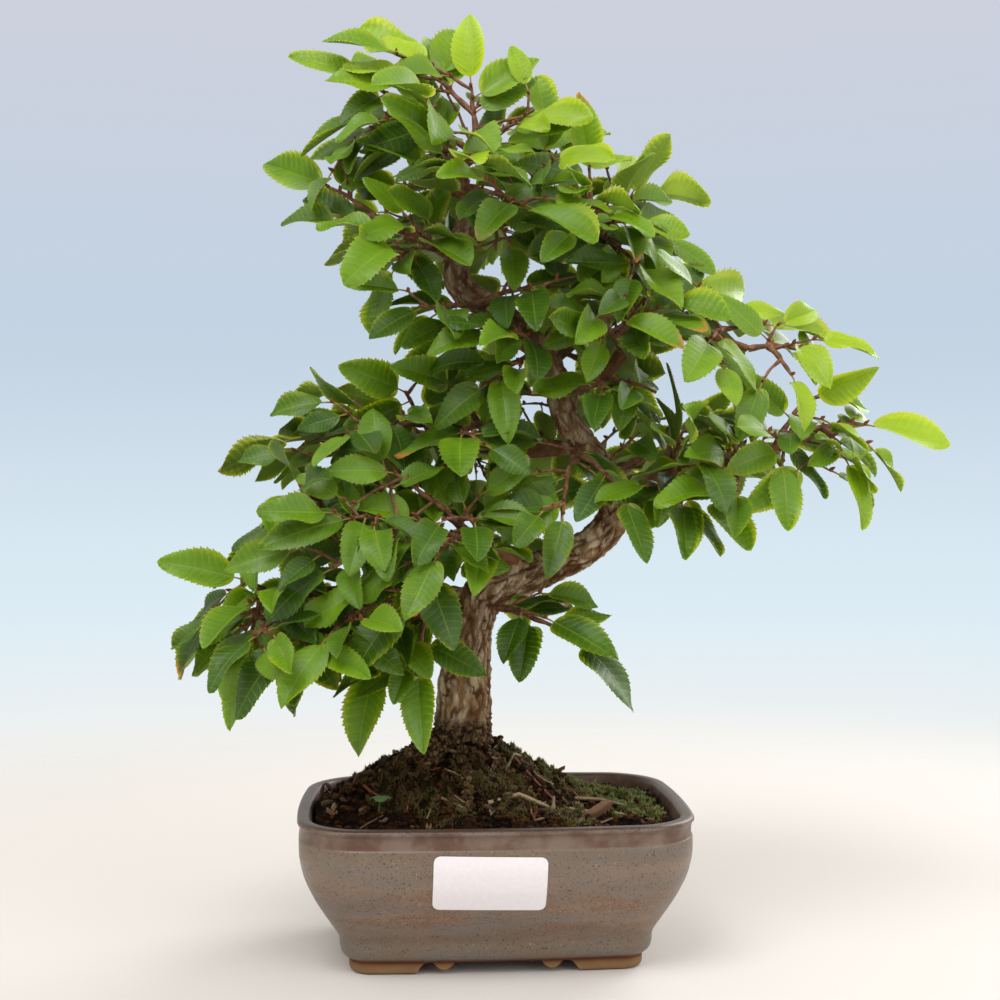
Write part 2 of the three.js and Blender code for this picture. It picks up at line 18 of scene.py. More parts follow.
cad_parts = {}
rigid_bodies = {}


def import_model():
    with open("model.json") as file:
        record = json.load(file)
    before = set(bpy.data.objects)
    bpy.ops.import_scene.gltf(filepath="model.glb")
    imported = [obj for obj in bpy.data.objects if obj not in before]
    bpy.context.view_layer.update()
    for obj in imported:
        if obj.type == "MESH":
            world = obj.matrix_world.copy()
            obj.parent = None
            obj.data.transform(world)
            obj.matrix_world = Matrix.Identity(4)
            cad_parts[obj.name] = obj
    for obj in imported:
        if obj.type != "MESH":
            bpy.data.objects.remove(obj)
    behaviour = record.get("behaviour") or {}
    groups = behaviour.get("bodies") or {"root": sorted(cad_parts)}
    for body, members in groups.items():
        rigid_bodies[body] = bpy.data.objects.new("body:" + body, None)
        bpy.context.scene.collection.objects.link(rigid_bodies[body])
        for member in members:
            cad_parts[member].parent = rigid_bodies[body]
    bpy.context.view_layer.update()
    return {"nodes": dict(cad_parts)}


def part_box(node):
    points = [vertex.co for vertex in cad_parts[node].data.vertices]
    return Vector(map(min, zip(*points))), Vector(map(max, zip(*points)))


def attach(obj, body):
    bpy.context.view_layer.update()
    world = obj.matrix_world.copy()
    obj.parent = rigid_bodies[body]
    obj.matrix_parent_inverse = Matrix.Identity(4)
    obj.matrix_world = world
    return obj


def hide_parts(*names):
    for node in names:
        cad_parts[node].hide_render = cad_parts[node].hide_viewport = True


log = logging.getLogger("bonsai")

MM = 0.001
SEED = 20117  # the same seed as the solids', so that their leaves come back here
WORD = 0xFFFFFFFF

# Keys that hold the draws of one kind of thing apart from those of the others
BETWEEN, ON_STEM, ON_LIMB, FINER, INSIDE = 50, 60, 70, 77, 80
CRUMB, JAG, MOSS, CUSHION, STRAW, FLAKE, CURL = range(900, 907)

Array = np.ndarray
Keys = tuple[int, ...]
Spot = tuple[float, float]
Piece = bpy.types.Object
Socket = bpy.types.NodeSocket
Number = float | Socket
Colour = tuple[float, float, float, float]


# The growth rule, shared with the solids


def draw(*keys: int) -> float:
    """Gives a number from 0 to 1 that depends only on the keys.

    Args:
        keys: Whole numbers that name the draw.

    Returns:
        The draw, which each leaf, twig and straw makes for itself.
    """
    h = SEED
    for key in keys:
        h = ((h ^ (key + 1)) * 0x9E3779B1) & WORD
        h = ((h ^ (h >> 15)) * 0x85EBCA6B) & WORD
        h ^= h >> 13
    return h / 2**32


def unit(vector: Array) -> Array:
    """Scales a vector, or each of a list of vectors, to length 1."""
    return vector / np.linalg.norm(vector, axis=-1, keepdims=True)


def blend(a: Array | float, b: Array | float, share: Array | float) -> Array | float:
    """Goes from a to b by a share."""
    return a + (b - a) * share


def ease(low: float, high: float, value: Array | float) -> Array | float:
    """Rises smoothly from 0 at low to 1 at high."""
    t = np.clip((value - low) / (high - low), 0, 1)
    return t * t * (3 - 2 * t)


def turned(points: Array, angle: float) -> tuple[Array, Array]:
    """Gives the x and y of places that are turned about the upright axis."""
    c, s = math.cos(angle), math.sin(angle)
    x, y = points[..., 0], points[..., 1]
    return x * c - y * s, x * s + y * c


TREE_TURN = math.radians(-3.5)


def planted(points: Array) -> Array:
    """Turns places measured from the tree's front to how it stands in the pot."""
    points = np.asarray(points, float)
    return np.stack([*turned(points, TREE_TURN), points[..., 2]], -1)


class Path:
    """A curve from 0 to 1 in space."""

    def at(self, t: Array | float) -> Array:
        """Gives the point, or the points, at t."""
        raise NotImplementedError

    def tangent(self, t: float) -> Array:
        """Gives the direction at t."""
        step = 1e-4
        return unit(self.at(min(t + step, 1)) - self.at(max(t - step, 0)))

    def length(self) -> float:
        """Gives the curve's length, by 200 chords."""
        return float(np.linalg.norm(np.diff(self.at(np.linspace(0, 1, 201)), axis=0), axis=1).sum())


class Spline(Path):
    """A smooth curve through points, evenly timed between them."""

    def __init__(self, points: Array) -> None:
        """Keeps the points, with one more beyond each end."""
        p = planted(points)
        self.count = len(p)
        self.points = np.vstack([2 * p[0] - p[1], p, 2 * p[-1] - p[-2]])

    def at(self, t: Array | float) -> Array:
        """Gives the point, or the points, at t."""
        place = np.asarray(t, float) * (self.count - 1)
        low = np.minimum(np.floor(place).astype(int), self.count - 2)
        w = (place - low)[..., None]
        a, b, c, d = (self.points[low + i] for i in range(4))
        start, end = 0.5 * (c - a), 0.5 * (d - b)
        square = -3 * b + 3 * c - 2 * start - end
        return b + start * w + square * w**2 + (2 * b - 2 * c + start + end) * w**3


class Bow(Path):
    """A quadratic curve from a foot to a tip, drawn towards a middle."""

    def __init__(self, foot: Array, middle: Array, tip: Array) -> None:
        """Keeps the three points."""
        self.foot, self.middle, self.tip = foot, middle, tip

    def at(self, t: Array | float) -> Array:
        """Gives the point, or the points, at t."""
        t = np.asarray(t, float)[..., None]
        k = 1 - t
        return k * k * self.foot + 2 * k * t * self.middle + t * t * self.tip


class Limb(Enum):
    """The pieces of wood that leafy stems grow from."""

    LOW_LEFT = "low_left"
    FRONT_LEFT = "front_left"
    MID_LEFT = "mid_left"
    UPPER_LEFT = "upper_left"
    LOW_RIGHT = "low_right"
    BACK_RIGHT = "back_right"
    MID_RIGHT = "mid_right"
    MID_BACK = "mid_back"
    CROWN_RIGHT = "crown_right"
    CROWN_LEFT = "crown_left"
    CROWN_BACK = "crown_back"
    APEX = "apex"
    TRUNK = "trunk"


# The trunk's middle line and radius, from its foot in the soil to the crown
TRUNK = [
    (-16, -2, 60, 17), (-16, -2, 78, 18), (-15, -2, 93, 14.8), (-14.2, -1, 108, 13.2),
    (-13.2, 0, 130, 12.2), (-11, 0, 154, 11), (-2, 1, 170, 10.2), (24, 4, 181, 9), (47, 6, 192, 8.2),
    (60, 6, 209, 8), (52, 5, 230, 7.4), (36, 3, 253, 6.2), (28, 2, 279, 6.2), (8, 3, 301, 6.4),
    (-16, 2, 318, 6.6), (-15, 0, 337, 6), (-11, -1, 356, 4.4),
]  # fmt: skip

# Each limb's radius at its foot and end, and its middle line from inside the trunk outwards
LIMBS = {
    Limb.LOW_LEFT: (
        5.2, 2, [(-9, 1, 166), (-28, -6, 170), (-48, -14, 173), (-75, -20, 171), (-104, -26, 171)],
    ),
    Limb.FRONT_LEFT: (3.6, 1.7, [(14, 2, 182), (-2, -22, 192), (-28, -38, 200)]),
    Limb.MID_LEFT: (4.6, 1.8, [(6, 2, 178), (-14, 9, 191), (-40, 14, 200), (-70, 12, 205), (-96, 8, 201)]),
    Limb.UPPER_LEFT: (
        4.2, 1.7, [(44, 4, 241), (20, 12, 238), (-10, 16, 240), (-40, 16, 243), (-68, 12, 241)],
    ),
    Limb.LOW_RIGHT: (5, 2.2, [(59, 6, 219), (80, 2, 225), (105, -4, 229), (130, -8, 236), (148, -8, 246)]),
    Limb.BACK_RIGHT: (3.2, 1.7, [(58, 6, 222), (70, 32, 232), (88, 52, 240)]),
    Limb.MID_RIGHT: (
        4, 1.8, [(31, 2, 268), (52, 0, 273), (66, -2, 288), (80, -4, 299), (100, -8, 294), (122, -10, 286)],
    ),
    Limb.MID_BACK: (3.2, 1.7, [(28, 2, 280), (36, 28, 288), (46, 50, 296)]),
    Limb.CROWN_RIGHT: (4, 1.8, [(-14, 0, 336), (2, 2, 348), (24, 4, 352), (46, 2, 352)]),
    Limb.CROWN_LEFT: (3.6, 1.8, [(-15, 1, 326), (-26, -3, 335), (-42, -8, 342)]),
    Limb.CROWN_BACK: (3.2, 1.7, [(-13, 0, 344), (-10, 24, 352), (-4, 44, 356)]),
    Limb.APEX: (3.8, 1.8, [(-11, -1, 350), (-14, -2, 372), (-8, -3, 392)]),
}  # fmt: skip

# Leafy stems: the limb that they grow from, and for each the share of its length and its tips
TIPS = {
    Limb.LOW_LEFT: [
        (1, (-114, -30, 177), (-110, -42, 150)), (0.85, (-104, -58, 154), (-118, 2, 154)),
        (0.7, (-90, -54, 150), (-84, -28, 150)), (0.6, (-90, 22, 156), (-64, 36, 150)),
        (0.45, (-52, -36, 140), (-72, -64, 154)), (0.25, (-33, -44, 138), (-40, 24, 148)),
    ],
    Limb.FRONT_LEFT: [
        (1, (-62, -54, 206), (-70, -58, 184)), (0.75, (-24, -68, 190), (-38, -62, 170)),
        (0.5, (-44, -42, 226), (-8, -54, 204)),
    ],
    Limb.MID_LEFT: [
        (1, (-108, 0, 196), (-102, 28, 192)), (0.8, (-94, -26, 204), (-86, -12, 222)),
        (0.5, (-72, 48, 208), (-46, 58, 200)), (0.4, (-56, -14, 216)), (0.25, (-16, 48, 196), (0, 34, 176)),
    ],
    Limb.UPPER_LEFT: [
        (1, (-95, 4, 244), (-86, -22, 228)), (0.85, (-62, 2, 258), (-82, 40, 240)),
        (0.65, (-42, 0, 266), (-66, -34, 244)), (0.6, (-54, 56, 248), (-24, 50, 250)),
        (0.4, (-18, -2, 268), (-14, -34, 244)), (0.2, (10, 52, 246), (34, 44, 256)),
    ],
    Limb.LOW_RIGHT: [
        (1, (178, -6, 250), (164, -24, 234)), (0.8, (150, -12, 262), (134, -30, 232)),
        (0.6, (112, -36, 218), (112, -30, 240)), (0.55, (126, 24, 242), (104, 36, 232)),
        (0.3, (88, -24, 214), (88, -30, 246)),
    ],
    Limb.BACK_RIGHT: [
        (1, (112, 68, 246), (88, 76, 230)), (0.5, (52, 62, 226)),
    ],
    Limb.MID_RIGHT: [
        (1, (152, -10, 284), (138, -30, 272)), (0.82, (130, -4, 298), (100, -34, 288)),
        (0.66, (98, 4, 312), (104, 24, 300)), (0.5, (76, 14, 318), (52, 24, 314)),
        (0.35, (48, -38, 298), (76, -30, 302)), (0.15, (50, -36, 264), (76, -26, 264)),
    ],
    Limb.MID_BACK: [
        (1, (64, 70, 304), (26, 66, 306)), (0.5, (66, 40, 276)),
    ],
    Limb.TRUNK: [
        (0.34, (24, -34, 160), (38, -36, 150)), (0.66, (32, -42, 208), (60, -34, 216)),
        (0.75, (10, -40, 290), (-2, -26, 268)), (0.83, (-32, -34, 302), (24, -34, 312)),
    ],
    Limb.CROWN_RIGHT: [
        (1, (80, -2, 342), (76, 14, 366)), (0.85, (68, -24, 324), (46, -10, 372)), (0.7, (52, -38, 346)),
        (0.55, (44, 42, 364), (34, 30, 338)), (0.4, (28, -32, 370), (30, 4, 380)),
    ],
    Limb.CROWN_LEFT: [
        (1, (-70, -14, 346), (-78, -2, 364)), (0.6, (-54, 26, 340), (-46, -6, 326)),
        (0.45, (-44, -44, 330)),
    ],
    Limb.CROWN_BACK: [
        (1, (12, 66, 360), (-36, 58, 352)),
    ],
    Limb.APEX: [
        (1, (-10, -4, 412), (-34, 2, 424)), (0.75, (-62, -8, 414), (-72, -2, 384)),
        (0.6, (20, -10, 400), (8, 36, 402)), (0.45, (-30, -38, 396), (-46, 30, 378)),
        (0.1, (-12, -52, 366), (14, -50, 346)),
    ],
}  # fmt: skip
STEMS = [(limb, at, tips) for limb, stems in TIPS.items() for at, *tips in stems]

EYE = np.array([-44.4, -688.6, 214.0])  # where the photograph was taken from
YAW = math.radians(4)
FAR = 690  # from there to the upright plane through the pot's middle
STALK = 5.0
BLADE_LENGTH = 33.0
BLADE_WIDTH = 0.54
TWIG_FOOT = 1.5


def outline(t: Array | float) -> Array | float:
    """Gives a blade's half width at t, as a share of its widest."""
    return np.sqrt(np.asarray(t) / 0.4) * (np.maximum(1 - np.asarray(t), 0) / 0.6) ** 0.75


@dataclass
class Leaf:
    """One leaf: where it grows, how it lies, and how large it is."""

    foot: Array
    hand: int
    along: Array
    normal: Array
    length: float
    bend: float
    limb: Limb = Limb.TRUNK
    keys: Keys = ()
    side: Array = field(init=False)
    half: float = field(init=False)

    def __post_init__(self) -> None:
        """Works out the sideways direction and the half width."""
        self.side = np.cross(self.along, self.normal)
        self.half = self.length * BLADE_WIDTH / 2

    def rib(self, t: Array) -> Array:
        """Gives points on the blade's middle line, which bends down."""
        turn = self.bend * t
        ahead = STALK + self.length * np.sin(turn) / self.bend
        down = -self.length * (1 - np.cos(turn)) / self.bend
        return self.foot + ahead[..., None] * self.along + down[..., None] * self.normal

    def spots(self, t: Array, v: Array) -> Array:
        """Gives points on the blade, at t along it and v half widths across it."""
        across = v * self.half * outline(t)
        return self.rib(t) + across[..., None] * self.side

    def sampled(self) -> tuple[Array, Array, Array]:
        """Gives points of the stalk's wedge, points of the blade, and the blade's middle."""
        rows = self.spots(np.linspace(0.1, 0.98, 9)[:, None], np.linspace(-1, 1, 7)[None, :])
        first = rows[0, [0, 3, 6]]
        base = np.concatenate([self.foot + (first - self.foot) * share for share in (0.33, 0.66)])
        return base, rows.reshape(-1, 3), rows[4, 3]

    def heights(self, points: Array) -> tuple[Array, Array]:
        """Measures points against this blade.

        Args:
            points: Places to measure.

        Returns:
            Each point's height over the blade, and whether it lies over or under the blade at all.
        """
        away = points - self.foot
        ahead = away @ self.along - STALK
        across = away @ self.side
        t = np.clip(ahead / (self.length * math.sin(self.bend) / self.bend), 0, 1)
        sag = -self.length * (1 - np.cos(self.bend * t)) / self.bend
        within = np.abs(across) < self.half * outline(t) + 1.5
        within &= (ahead > -2) & (ahead < self.length + 2)
        return away @ self.normal - sag, within


def finder_of(places: Array) -> kdtree.KDTree:
    """Makes a finder of the nearest of some places."""
    finder = kdtree.KDTree(len(places))
    for index, place in enumerate(places):
        finder.insert(place, index)
    finder.balance()
    return finder


@dataclass
class Shoot:
    """A twig with the curve that it follows and its girth."""

    path: Path
    limb: Limb
    foot: float
    tip: float
    keys: Keys


def facing(place: Array) -> Array:
    """Gives the way that leaves face at a place: up, and away from the middle of the crown."""
    away = place - planted((10, 8, 0))
    out = unit(np.array([0.35 * away[0], away[1] + (-25 if away[1] < 0 else 25), 0]))
    return unit(out * 1.1 + np.array([0, 0, 1]))


def directions(path: Path, t: float) -> tuple[Array, Array, Array]:
    """Gives a twig's own directions at t: along it, to its right, and the way its leaves face."""
    tangent = path.tangent(t)
    tip = path.at(1.0)
    top = unit(np.cross(np.cross(tip - path.at(0.0), facing(tip)), tangent))
    return tangent, np.cross(tangent, top), top


class Growth:
    """Grows the tree's curves and the leaves of the solids, and keeps those that the infill adds."""

    CLEAR_BLADE = 5.1  # between the points of two leaves
    CLEAR_WOOD = 2.4  # from wood that isn't the leaf's own stem
    CLEAR_OWN = 0.7
    SPACING = 14  # along a stem, from leaf to leaf
    TRIES = 16
    NEAR = 46  # leaves farther off than this can't touch a new one

    def __init__(self) -> None:
        """Sets out the wood and the stems' paths, and grows the leaves of the solids."""
        self.wood: dict[Limb, tuple[Path, Callable[[Array], Array]]] = {}
        for limb, (foot, end, line) in LIMBS.items():
            self.wood[limb] = (Spline(np.array(line)), lambda t, a=foot, b=end: blend(a, b, np.asarray(t)))
        trunk = np.array(TRUNK, float)
        self.wood[Limb.TRUNK] = (
            Spline(trunk[:, :3]),
            lambda t: np.interp(np.asarray(t) * (len(TRUNK) - 1), np.arange(len(TRUNK)), trunk[:, 3]),
        )
        self.stems = [self.stem_paths(index) for index in range(len(STEMS))]
        self.shoots: list[Shoot] = []
        self.leaves: list[Leaf] = []
        self.samples: list[tuple[Array, Array, Array]] = []
        self.middles = np.zeros((0, 3))
        self.balls = self.all_balls()
        self.grow_main_leaves()

    def stem_paths(self, index: int) -> list[Bow]:
        """Gives each tip's path of one leafy stem."""
        limb, at, tips = STEMS[index]
        paths: list[Bow] = []
        for fork, tip in enumerate(tips):
            foot = paths[0].at(0.3) if fork else self.wood[limb][0].at(at)
            end = planted(tip)
            bow = float(np.linalg.norm(end - foot)) * 0.12
            middle = (foot + end) / 2
            middle[2] += bow * (0.4 + draw(index, fork, 1))
            middle[0] += bow * (draw(index, fork, 2) - 0.5)
            paths.append(Bow(foot, middle, end))
        return paths

    def all_balls(self) -> tuple[Array, Array, Array]:
        """Lines every piece of wood with balls that leaves keep clear of.

        Returns:
            The balls' places, their radii, and the stem that each belongs to, or -1.
        """
        places, radii, owners = [], [], []

        def lined(path: Path, radius: Callable[[Array], Array], owner: int) -> None:
            share = np.linspace(0, 1, math.ceil(path.length() / 3) + 1)
            places.append(path.at(share))
            radii.append(np.broadcast_to(radius(share), share.shape))
            owners.append(np.full(share.shape, owner))

        for path, radius in self.wood.values():
            lined(path, radius, -1)
        for index, paths in enumerate(self.stems):
            for path in paths:
                lined(path, lambda share: TWIG_FOOT, index)
        return np.concatenate(places), np.concatenate(radii), np.concatenate(owners)

    def leaf_at(self, path: Path, t: float, terminal: bool, hand: int, keys: Keys) -> Leaf:
        """Gives the leaf at a place on a path, as one of several tries draws it.

        Args:
            path: The twig's curve.
            t: The place on it.
            terminal: Whether the leaf ends the twig.
            hand: The side that it grows from, 1 or -1.
            keys: Numbers that name its draws.

        Returns:
            The leaf.
        """
        foot = path.at(t)
        tangent, right, top = directions(path, t)
        across = right * hand
        a, b, c, d, e = (draw(*keys, key) for key in (3, 4, 5, 6, 7))
        spread = 0.5 * (a - 0.5) if terminal else 0.84 + 0.34 * a
        crown = min(max((foot[2] - 330) / 90, 0), 1)
        along = tangent * math.cos(spread) + across * math.sin(spread)
        along[2] = 0.75 * along[2] - blend(0.02 + 0.34 * b, 0.34 * b - 0.28, crown)
        along = unit(along)
        normal = top + across * (0.6 * (c - 0.5)) + tangent * 0.2
        normal = unit(normal - along * (normal @ along))
        length = BLADE_LENGTH * (0.76 + 0.4 * d) * (1.06 if terminal else 1)
        return Leaf(foot, 0 if terminal else hand, along, normal, length, 0.1 + 0.6 * e, keys=keys)

    def keep(self, leaf: Leaf, limb: Limb, sample: tuple[Array, Array, Array]) -> None:
        """Adds a leaf to the tree."""
        leaf.limb = limb
        self.leaves.append(leaf)
        self.samples.append(sample)
        self.middles = np.vstack([self.middles, sample[2]])

    def is_clear(self, sample: tuple[Array, Array, Array], stem: int) -> bool:
        """Tells whether a leaf of the solids stands clear of the leaves and wood before it."""
        base, blade, middle = sample
        points = np.concatenate([base, blade])
        near = np.nonzero(np.linalg.norm(self.middles - middle, axis=1) <= self.NEAR)[0]
        if len(near):
            others = np.concatenate([part for i in near for part in self.samples[i][:2]])
            if self.squares(points, others).min() < self.CLEAR_BLADE**2:
                return False
        places, radii, owners = self.balls
        close = np.linalg.norm(places - middle, axis=1) < self.NEAR
        own = close & (owners == stem)
        rest = close & (owners != stem)
        for chosen, mine, least in ((own, blade, self.CLEAR_OWN), (rest, points, self.CLEAR_WOOD)):
            if chosen.any() and (self.squares(mine, places[chosen]) < (radii[chosen] + least) ** 2).any():
                return False
        return True

    @staticmethod
    def squares(a: Array, b: Array) -> Array:
        """Gives the square of the distance from each of some points to each of others."""
        return (a * a).sum(1)[:, None] + (b * b).sum(1)[None, :] - 2 * a @ b.T

    def grow_main_leaves(self) -> None:
        """Sets the solids' leaves alternately along every path, and fills the tips first."""
        lengths = [[path.length() for path in paths] for paths in self.stems]
        for row in range(8):
            for stem, paths in enumerate(self.stems):
                for fork, path in enumerate(paths):
                    t = 1 - row * self.SPACING / lengths[stem][fork]
                    if t < (0.12 if fork else 0.2):
                        continue
                    for attempt in range(self.TRIES):
                        hand = 1 if (row + stem + attempt) % 2 else -1
                        leaf = self.leaf_at(path, t, row == 0, hand, (stem, fork, row, attempt))
                        sample = leaf.sampled()
                        if self.is_clear(sample, stem):
                            self.keep(leaf, STEMS[stem][0], sample)
                            break
        for stem, paths in enumerate(self.stems):
            for fork, path in enumerate(paths):
                self.shoots.append(Shoot(path, STEMS[stem][0], 1.7, 0.75, (stem, fork)))
        log.info("%d leaves of the solids are placed", len(self.leaves))


def seen(points: Array) -> tuple[Array, Array, Array]:
    """Looks at places from the photograph's front.

    Args:
        points: The places.

    Returns:
        How far right of the middle, how high, and how far behind the pot's middle each one seems, when
        all are drawn onto the upright plane through the pot's middle.
    """
    away = points - EYE
    right, ahead = turned(away, YAW)
    return right * FAR / ahead, EYE[2] + away[..., 2] * FAR / ahead, ahead - FAR


class Infill:
    """Adds the growth that is too fine for the solids: leaves between theirs, and side twigs with more."""

    GAP = 1.1  # between a new leaf and any other
    WOOD_GAP = 0.9
    NEAR_LEAF = 40  # leaves farther off than this can't touch a new one
    NEAR_WOOD = 30
    REACH = 15.0  # how far a new leaf may lie from the leaves and wood of the solids
    BASE, MIDDLE = 3, 7  # of a leaf's coarse points, those at its base, and the one in its middle
    # Places that the photograph shows bare: left, right, low and high, and whether only its front is
    WINDOWS = (
        (36, 125, 409, 455, False), (48, 125, 384, 416, False), (94, 135, 342, 407, False),
        (116, 159, 310, 342, False), (-154, -105, 310, 412, False), (-154, -84, 273, 342, False),
        (-84, -63, 281, 310, False), (-154, -104, 397, 455, False), (-169, -129, 195, 272, False),
        (77, 99, 266, 284, False), (120, 145, 270, 281, False), (48, 116, 70, 185, False),
        (125, 240, 118, 204, False), (150, 174, 185, 216, False), (-169, -29, 70, 112, False),
        (-29, 96, 70, 156, False), (-48, -2, 262, 268, False), (22, 37, 228, 286, True),
        (29, 58, 184, 210, True), (-26, -10, 306, 336, True), (-24, 0, 150, 166, True),
    )  # fmt: skip
    # Short twigs in the middle of the crown: the limb that each leaves, at which share, and its tip
    INNER = (
        (Limb.TRUNK, 0.81, (16, -6, 322)), (Limb.TRUNK, 0.8, (8, 22, 326)),
        (Limb.CROWN_RIGHT, 0.33, (8, -14, 336)), (Limb.CROWN_RIGHT, 0.33, (2, 20, 338)),
        (Limb.TRUNK, 0.71, (14, -12, 264)), (Limb.TRUNK, 0.7, (16, 24, 262)),
        (Limb.TRUNK, 0.62, (70, -12, 246)), (Limb.TRUNK, 0.64, (64, 26, 250)),
        (Limb.UPPER_LEFT, 0.5, (-4, -2, 226)), (Limb.UPPER_LEFT, 0.5, (-8, 30, 228)),
        (Limb.LOW_LEFT, 0.25, (-18, -20, 182)), (Limb.LOW_LEFT, 0.25, (-20, 18, 182)),
    )  # fmt: skip

    def __init__(self, growth: Growth) -> None:
        """Starts from the leaves of the solids.

        Args:
            growth: The tree, which gets the new leaves and twigs.
        """
        self.growth = growth
        self.t = np.array([0.08, 0.3, 0.55, 0.8, 1.0])[:, None]
        self.v = np.array([-0.9, 0, 0.9])[None, :]
        self.spots: list[Array] = [self.coarse(leaf) for leaf in growth.leaves]
        self.twig_places, self.twig_radii, _ = growth.balls
        leaves = [np.concatenate(sample[:2]) for sample in growth.samples]
        self.form = finder_of(np.concatenate([*leaves, self.twig_places]))
        self.reach = self.REACH
        self.count = 0

    def coarse(self, leaf: Leaf) -> Array:
        """Gives the few points of a leaf that the clearance tests use."""
        return leaf.spots(self.t, self.v).reshape(-1, 3)

    def inside_form(self, spots: Array) -> bool:
        """Tells whether a leaf stays within the crown that the solids fill, and out of the bare places."""
        x, z, depth = seen(spots)
        for left, right, low, high, front in self.WINDOWS:
            hit = (x > left) & (x < right) & (z > low) & (z < high)
            if front:
                hit &= depth < 0
            if hit.any():
                return False
        return all(self.form.find(spot)[2] < self.reach for spot in spots)

    def crosses(self, points: Array, middle: Array, leaf: Leaf | None) -> bool:
        """Tells whether a leaf or twig would touch or cut a leaf that is there.

        Args:
            points: Its points.
            middle: Its middle.
            leaf: The leaf itself, or None for a twig.

        Returns:
            Whether it would.
        """
        near = np.nonzero(np.linalg.norm(self.growth.middles - middle, axis=1) < self.NEAR_LEAF)[0]
        for index in near:
            tests = [self.growth.leaves[index].heights(points)]
            if leaf is not None:
                tests.append(leaf.heights(self.spots[index]))
            for height, within in tests:
                over = height[within]
                if len(over) and (np.abs(over).min() < self.GAP or (over.min() < 0 < over.max())):
                    return True
        return False

    def fits(self, leaf: Leaf, spots: Array) -> bool:
        """Tells whether a new leaf fits between the leaves and the wood."""
        if not self.inside_form(spots):
            return False
        middle = spots[self.MIDDLE]
        close = np.linalg.norm(self.twig_places - middle, axis=1) < self.NEAR_WOOD
        if close.any():
            squares = Growth.squares(spots[self.BASE :], self.twig_places[close])
            if (squares < (self.twig_radii[close] + self.WOOD_GAP) ** 2).any():
                return False
        return not self.crosses(spots, middle, leaf)

    def try_leaf(
        self, shoot: Shoot, t: float, terminal: bool, size: float, tries: int, keys: Keys
    ) -> bool:
        """Sets a leaf on a twig if one of several tries fits.

        Args:
            shoot: The twig.
            t: The place on it.
            terminal: Whether the leaf ends the twig.
            size: Its size, as a share of the usual.
            tries: How many draws are made.
            keys: Numbers that name its draws.

        Returns:
            Whether a leaf was set.
        """
        for attempt in range(tries):
            hand = 1 if (keys[-1] + attempt) % 2 else -1
            leaf = self.growth.leaf_at(shoot.path, t, terminal, hand, (*keys, attempt, FINER))
            leaf.length *= size
            leaf.half *= size
            spots = self.coarse(leaf)
            if self.fits(leaf, spots):
                sample = spots[: self.BASE], spots[self.BASE :], spots[self.MIDDLE]
                self.growth.keep(leaf, shoot.limb, sample)
                self.spots.append(spots)
                self.count += 1
                return True
        return False

    def between(self) -> None:
        """Sets leaves halfway between those of the solids."""
        for shoot in list(self.growth.shoots):
            length = shoot.path.length()
            for row in range(8):
                t = 1 - (row + 0.5) * Growth.SPACING / length
                if t > 0.15:
                    self.try_leaf(shoot, t, False, 0.9, 6, (*shoot.keys, BETWEEN, row))

    def side_path(self, parent: Path, t: float, hand: int, keys: Keys, reach: float) -> Path:
        """Gives the curve of a twig that leaves a parent at t."""
        tangent, right, top = directions(parent, t)
        lean = 0.75 + 0.5 * draw(*keys, 1)
        roll = 1.9 * (draw(*keys, 2) - 0.45)
        across = right * hand * math.cos(roll) + top * math.sin(roll)
        way = unit(tangent * math.cos(lean) + across * math.sin(lean))
        foot = parent.at(t)
        tip = foot + way * reach
        middle = foot + way * reach * 0.5 + np.array([0, 0, 0.1 * reach * draw(*keys, 3)])
        return Bow(foot, middle, tip)

    def try_twig(
        self, parent: Path, limb: Limb, t: float, base: float, size: float, keys: Keys
    ) -> None:
        """Grows a side twig with its leaves if its last leaf fits.

        Args:
            parent: The curve that it leaves.
            limb: The limb that the twig is counted to.
            t: The place on the parent.
            base: The twig's usual length.
            size: The size of its leaves, as a share of the usual.
            keys: Numbers that name its draws.
        """
        for attempt in range(7):
            mine = (*keys, attempt)
            hand = 1 if (keys[-1] + attempt) % 2 else -1
            reach = base * (0.6 + 0.8 * draw(*mine, 4)) * (1 - 0.06 * attempt)
            path = self.side_path(parent, t, hand, mine, reach)
            points = path.at(np.linspace(0.25, 1, 6))
            if self.crosses(points, points[3], None):
                continue
            shoot = Shoot(path, limb, 0.95, 0.55, mine)
            if not self.try_leaf(shoot, 1.0, True, size, 4, (*mine, 1)):
                continue
            for row in range(1, 6):
                place = 1 - row * 9.5 / reach
                if place < 0.2:
                    break
                self.try_leaf(shoot, place, False, size * (1 - 0.05 * row), 5, (*mine, row + 1))
            self.growth.shoots.append(shoot)
            self.twig_places = np.vstack([self.twig_places, points])
            self.twig_radii = np.concatenate([self.twig_radii, np.full(len(points), 0.8)])
            return

    def side_twigs(self) -> None:
        """Grows twigs from the leafy stems."""
        for shoot in list(self.growth.shoots):
            length = shoot.path.length()
            for row in range(6):
                t = 0.92 - row * 10 / length
                if t > 0.1:
                    self.try_twig(shoot.path, shoot.limb, t, 20, 0.84, (*shoot.keys, ON_STEM, row))

    def limb_twigs(self) -> None:
        """Grows twigs straight from the limbs and the upper trunk."""
        for order, (limb, (path, _)) in enumerate(self.growth.wood.items()):
            length = path.length()
            first = 0.42 if limb is Limb.TRUNK else 0.15
            for row in range(60):
                t = 1 - row * 7 / length
                if t > first:
                    self.try_twig(path, limb, t, 30, 0.9, (order, ON_LIMB, row))

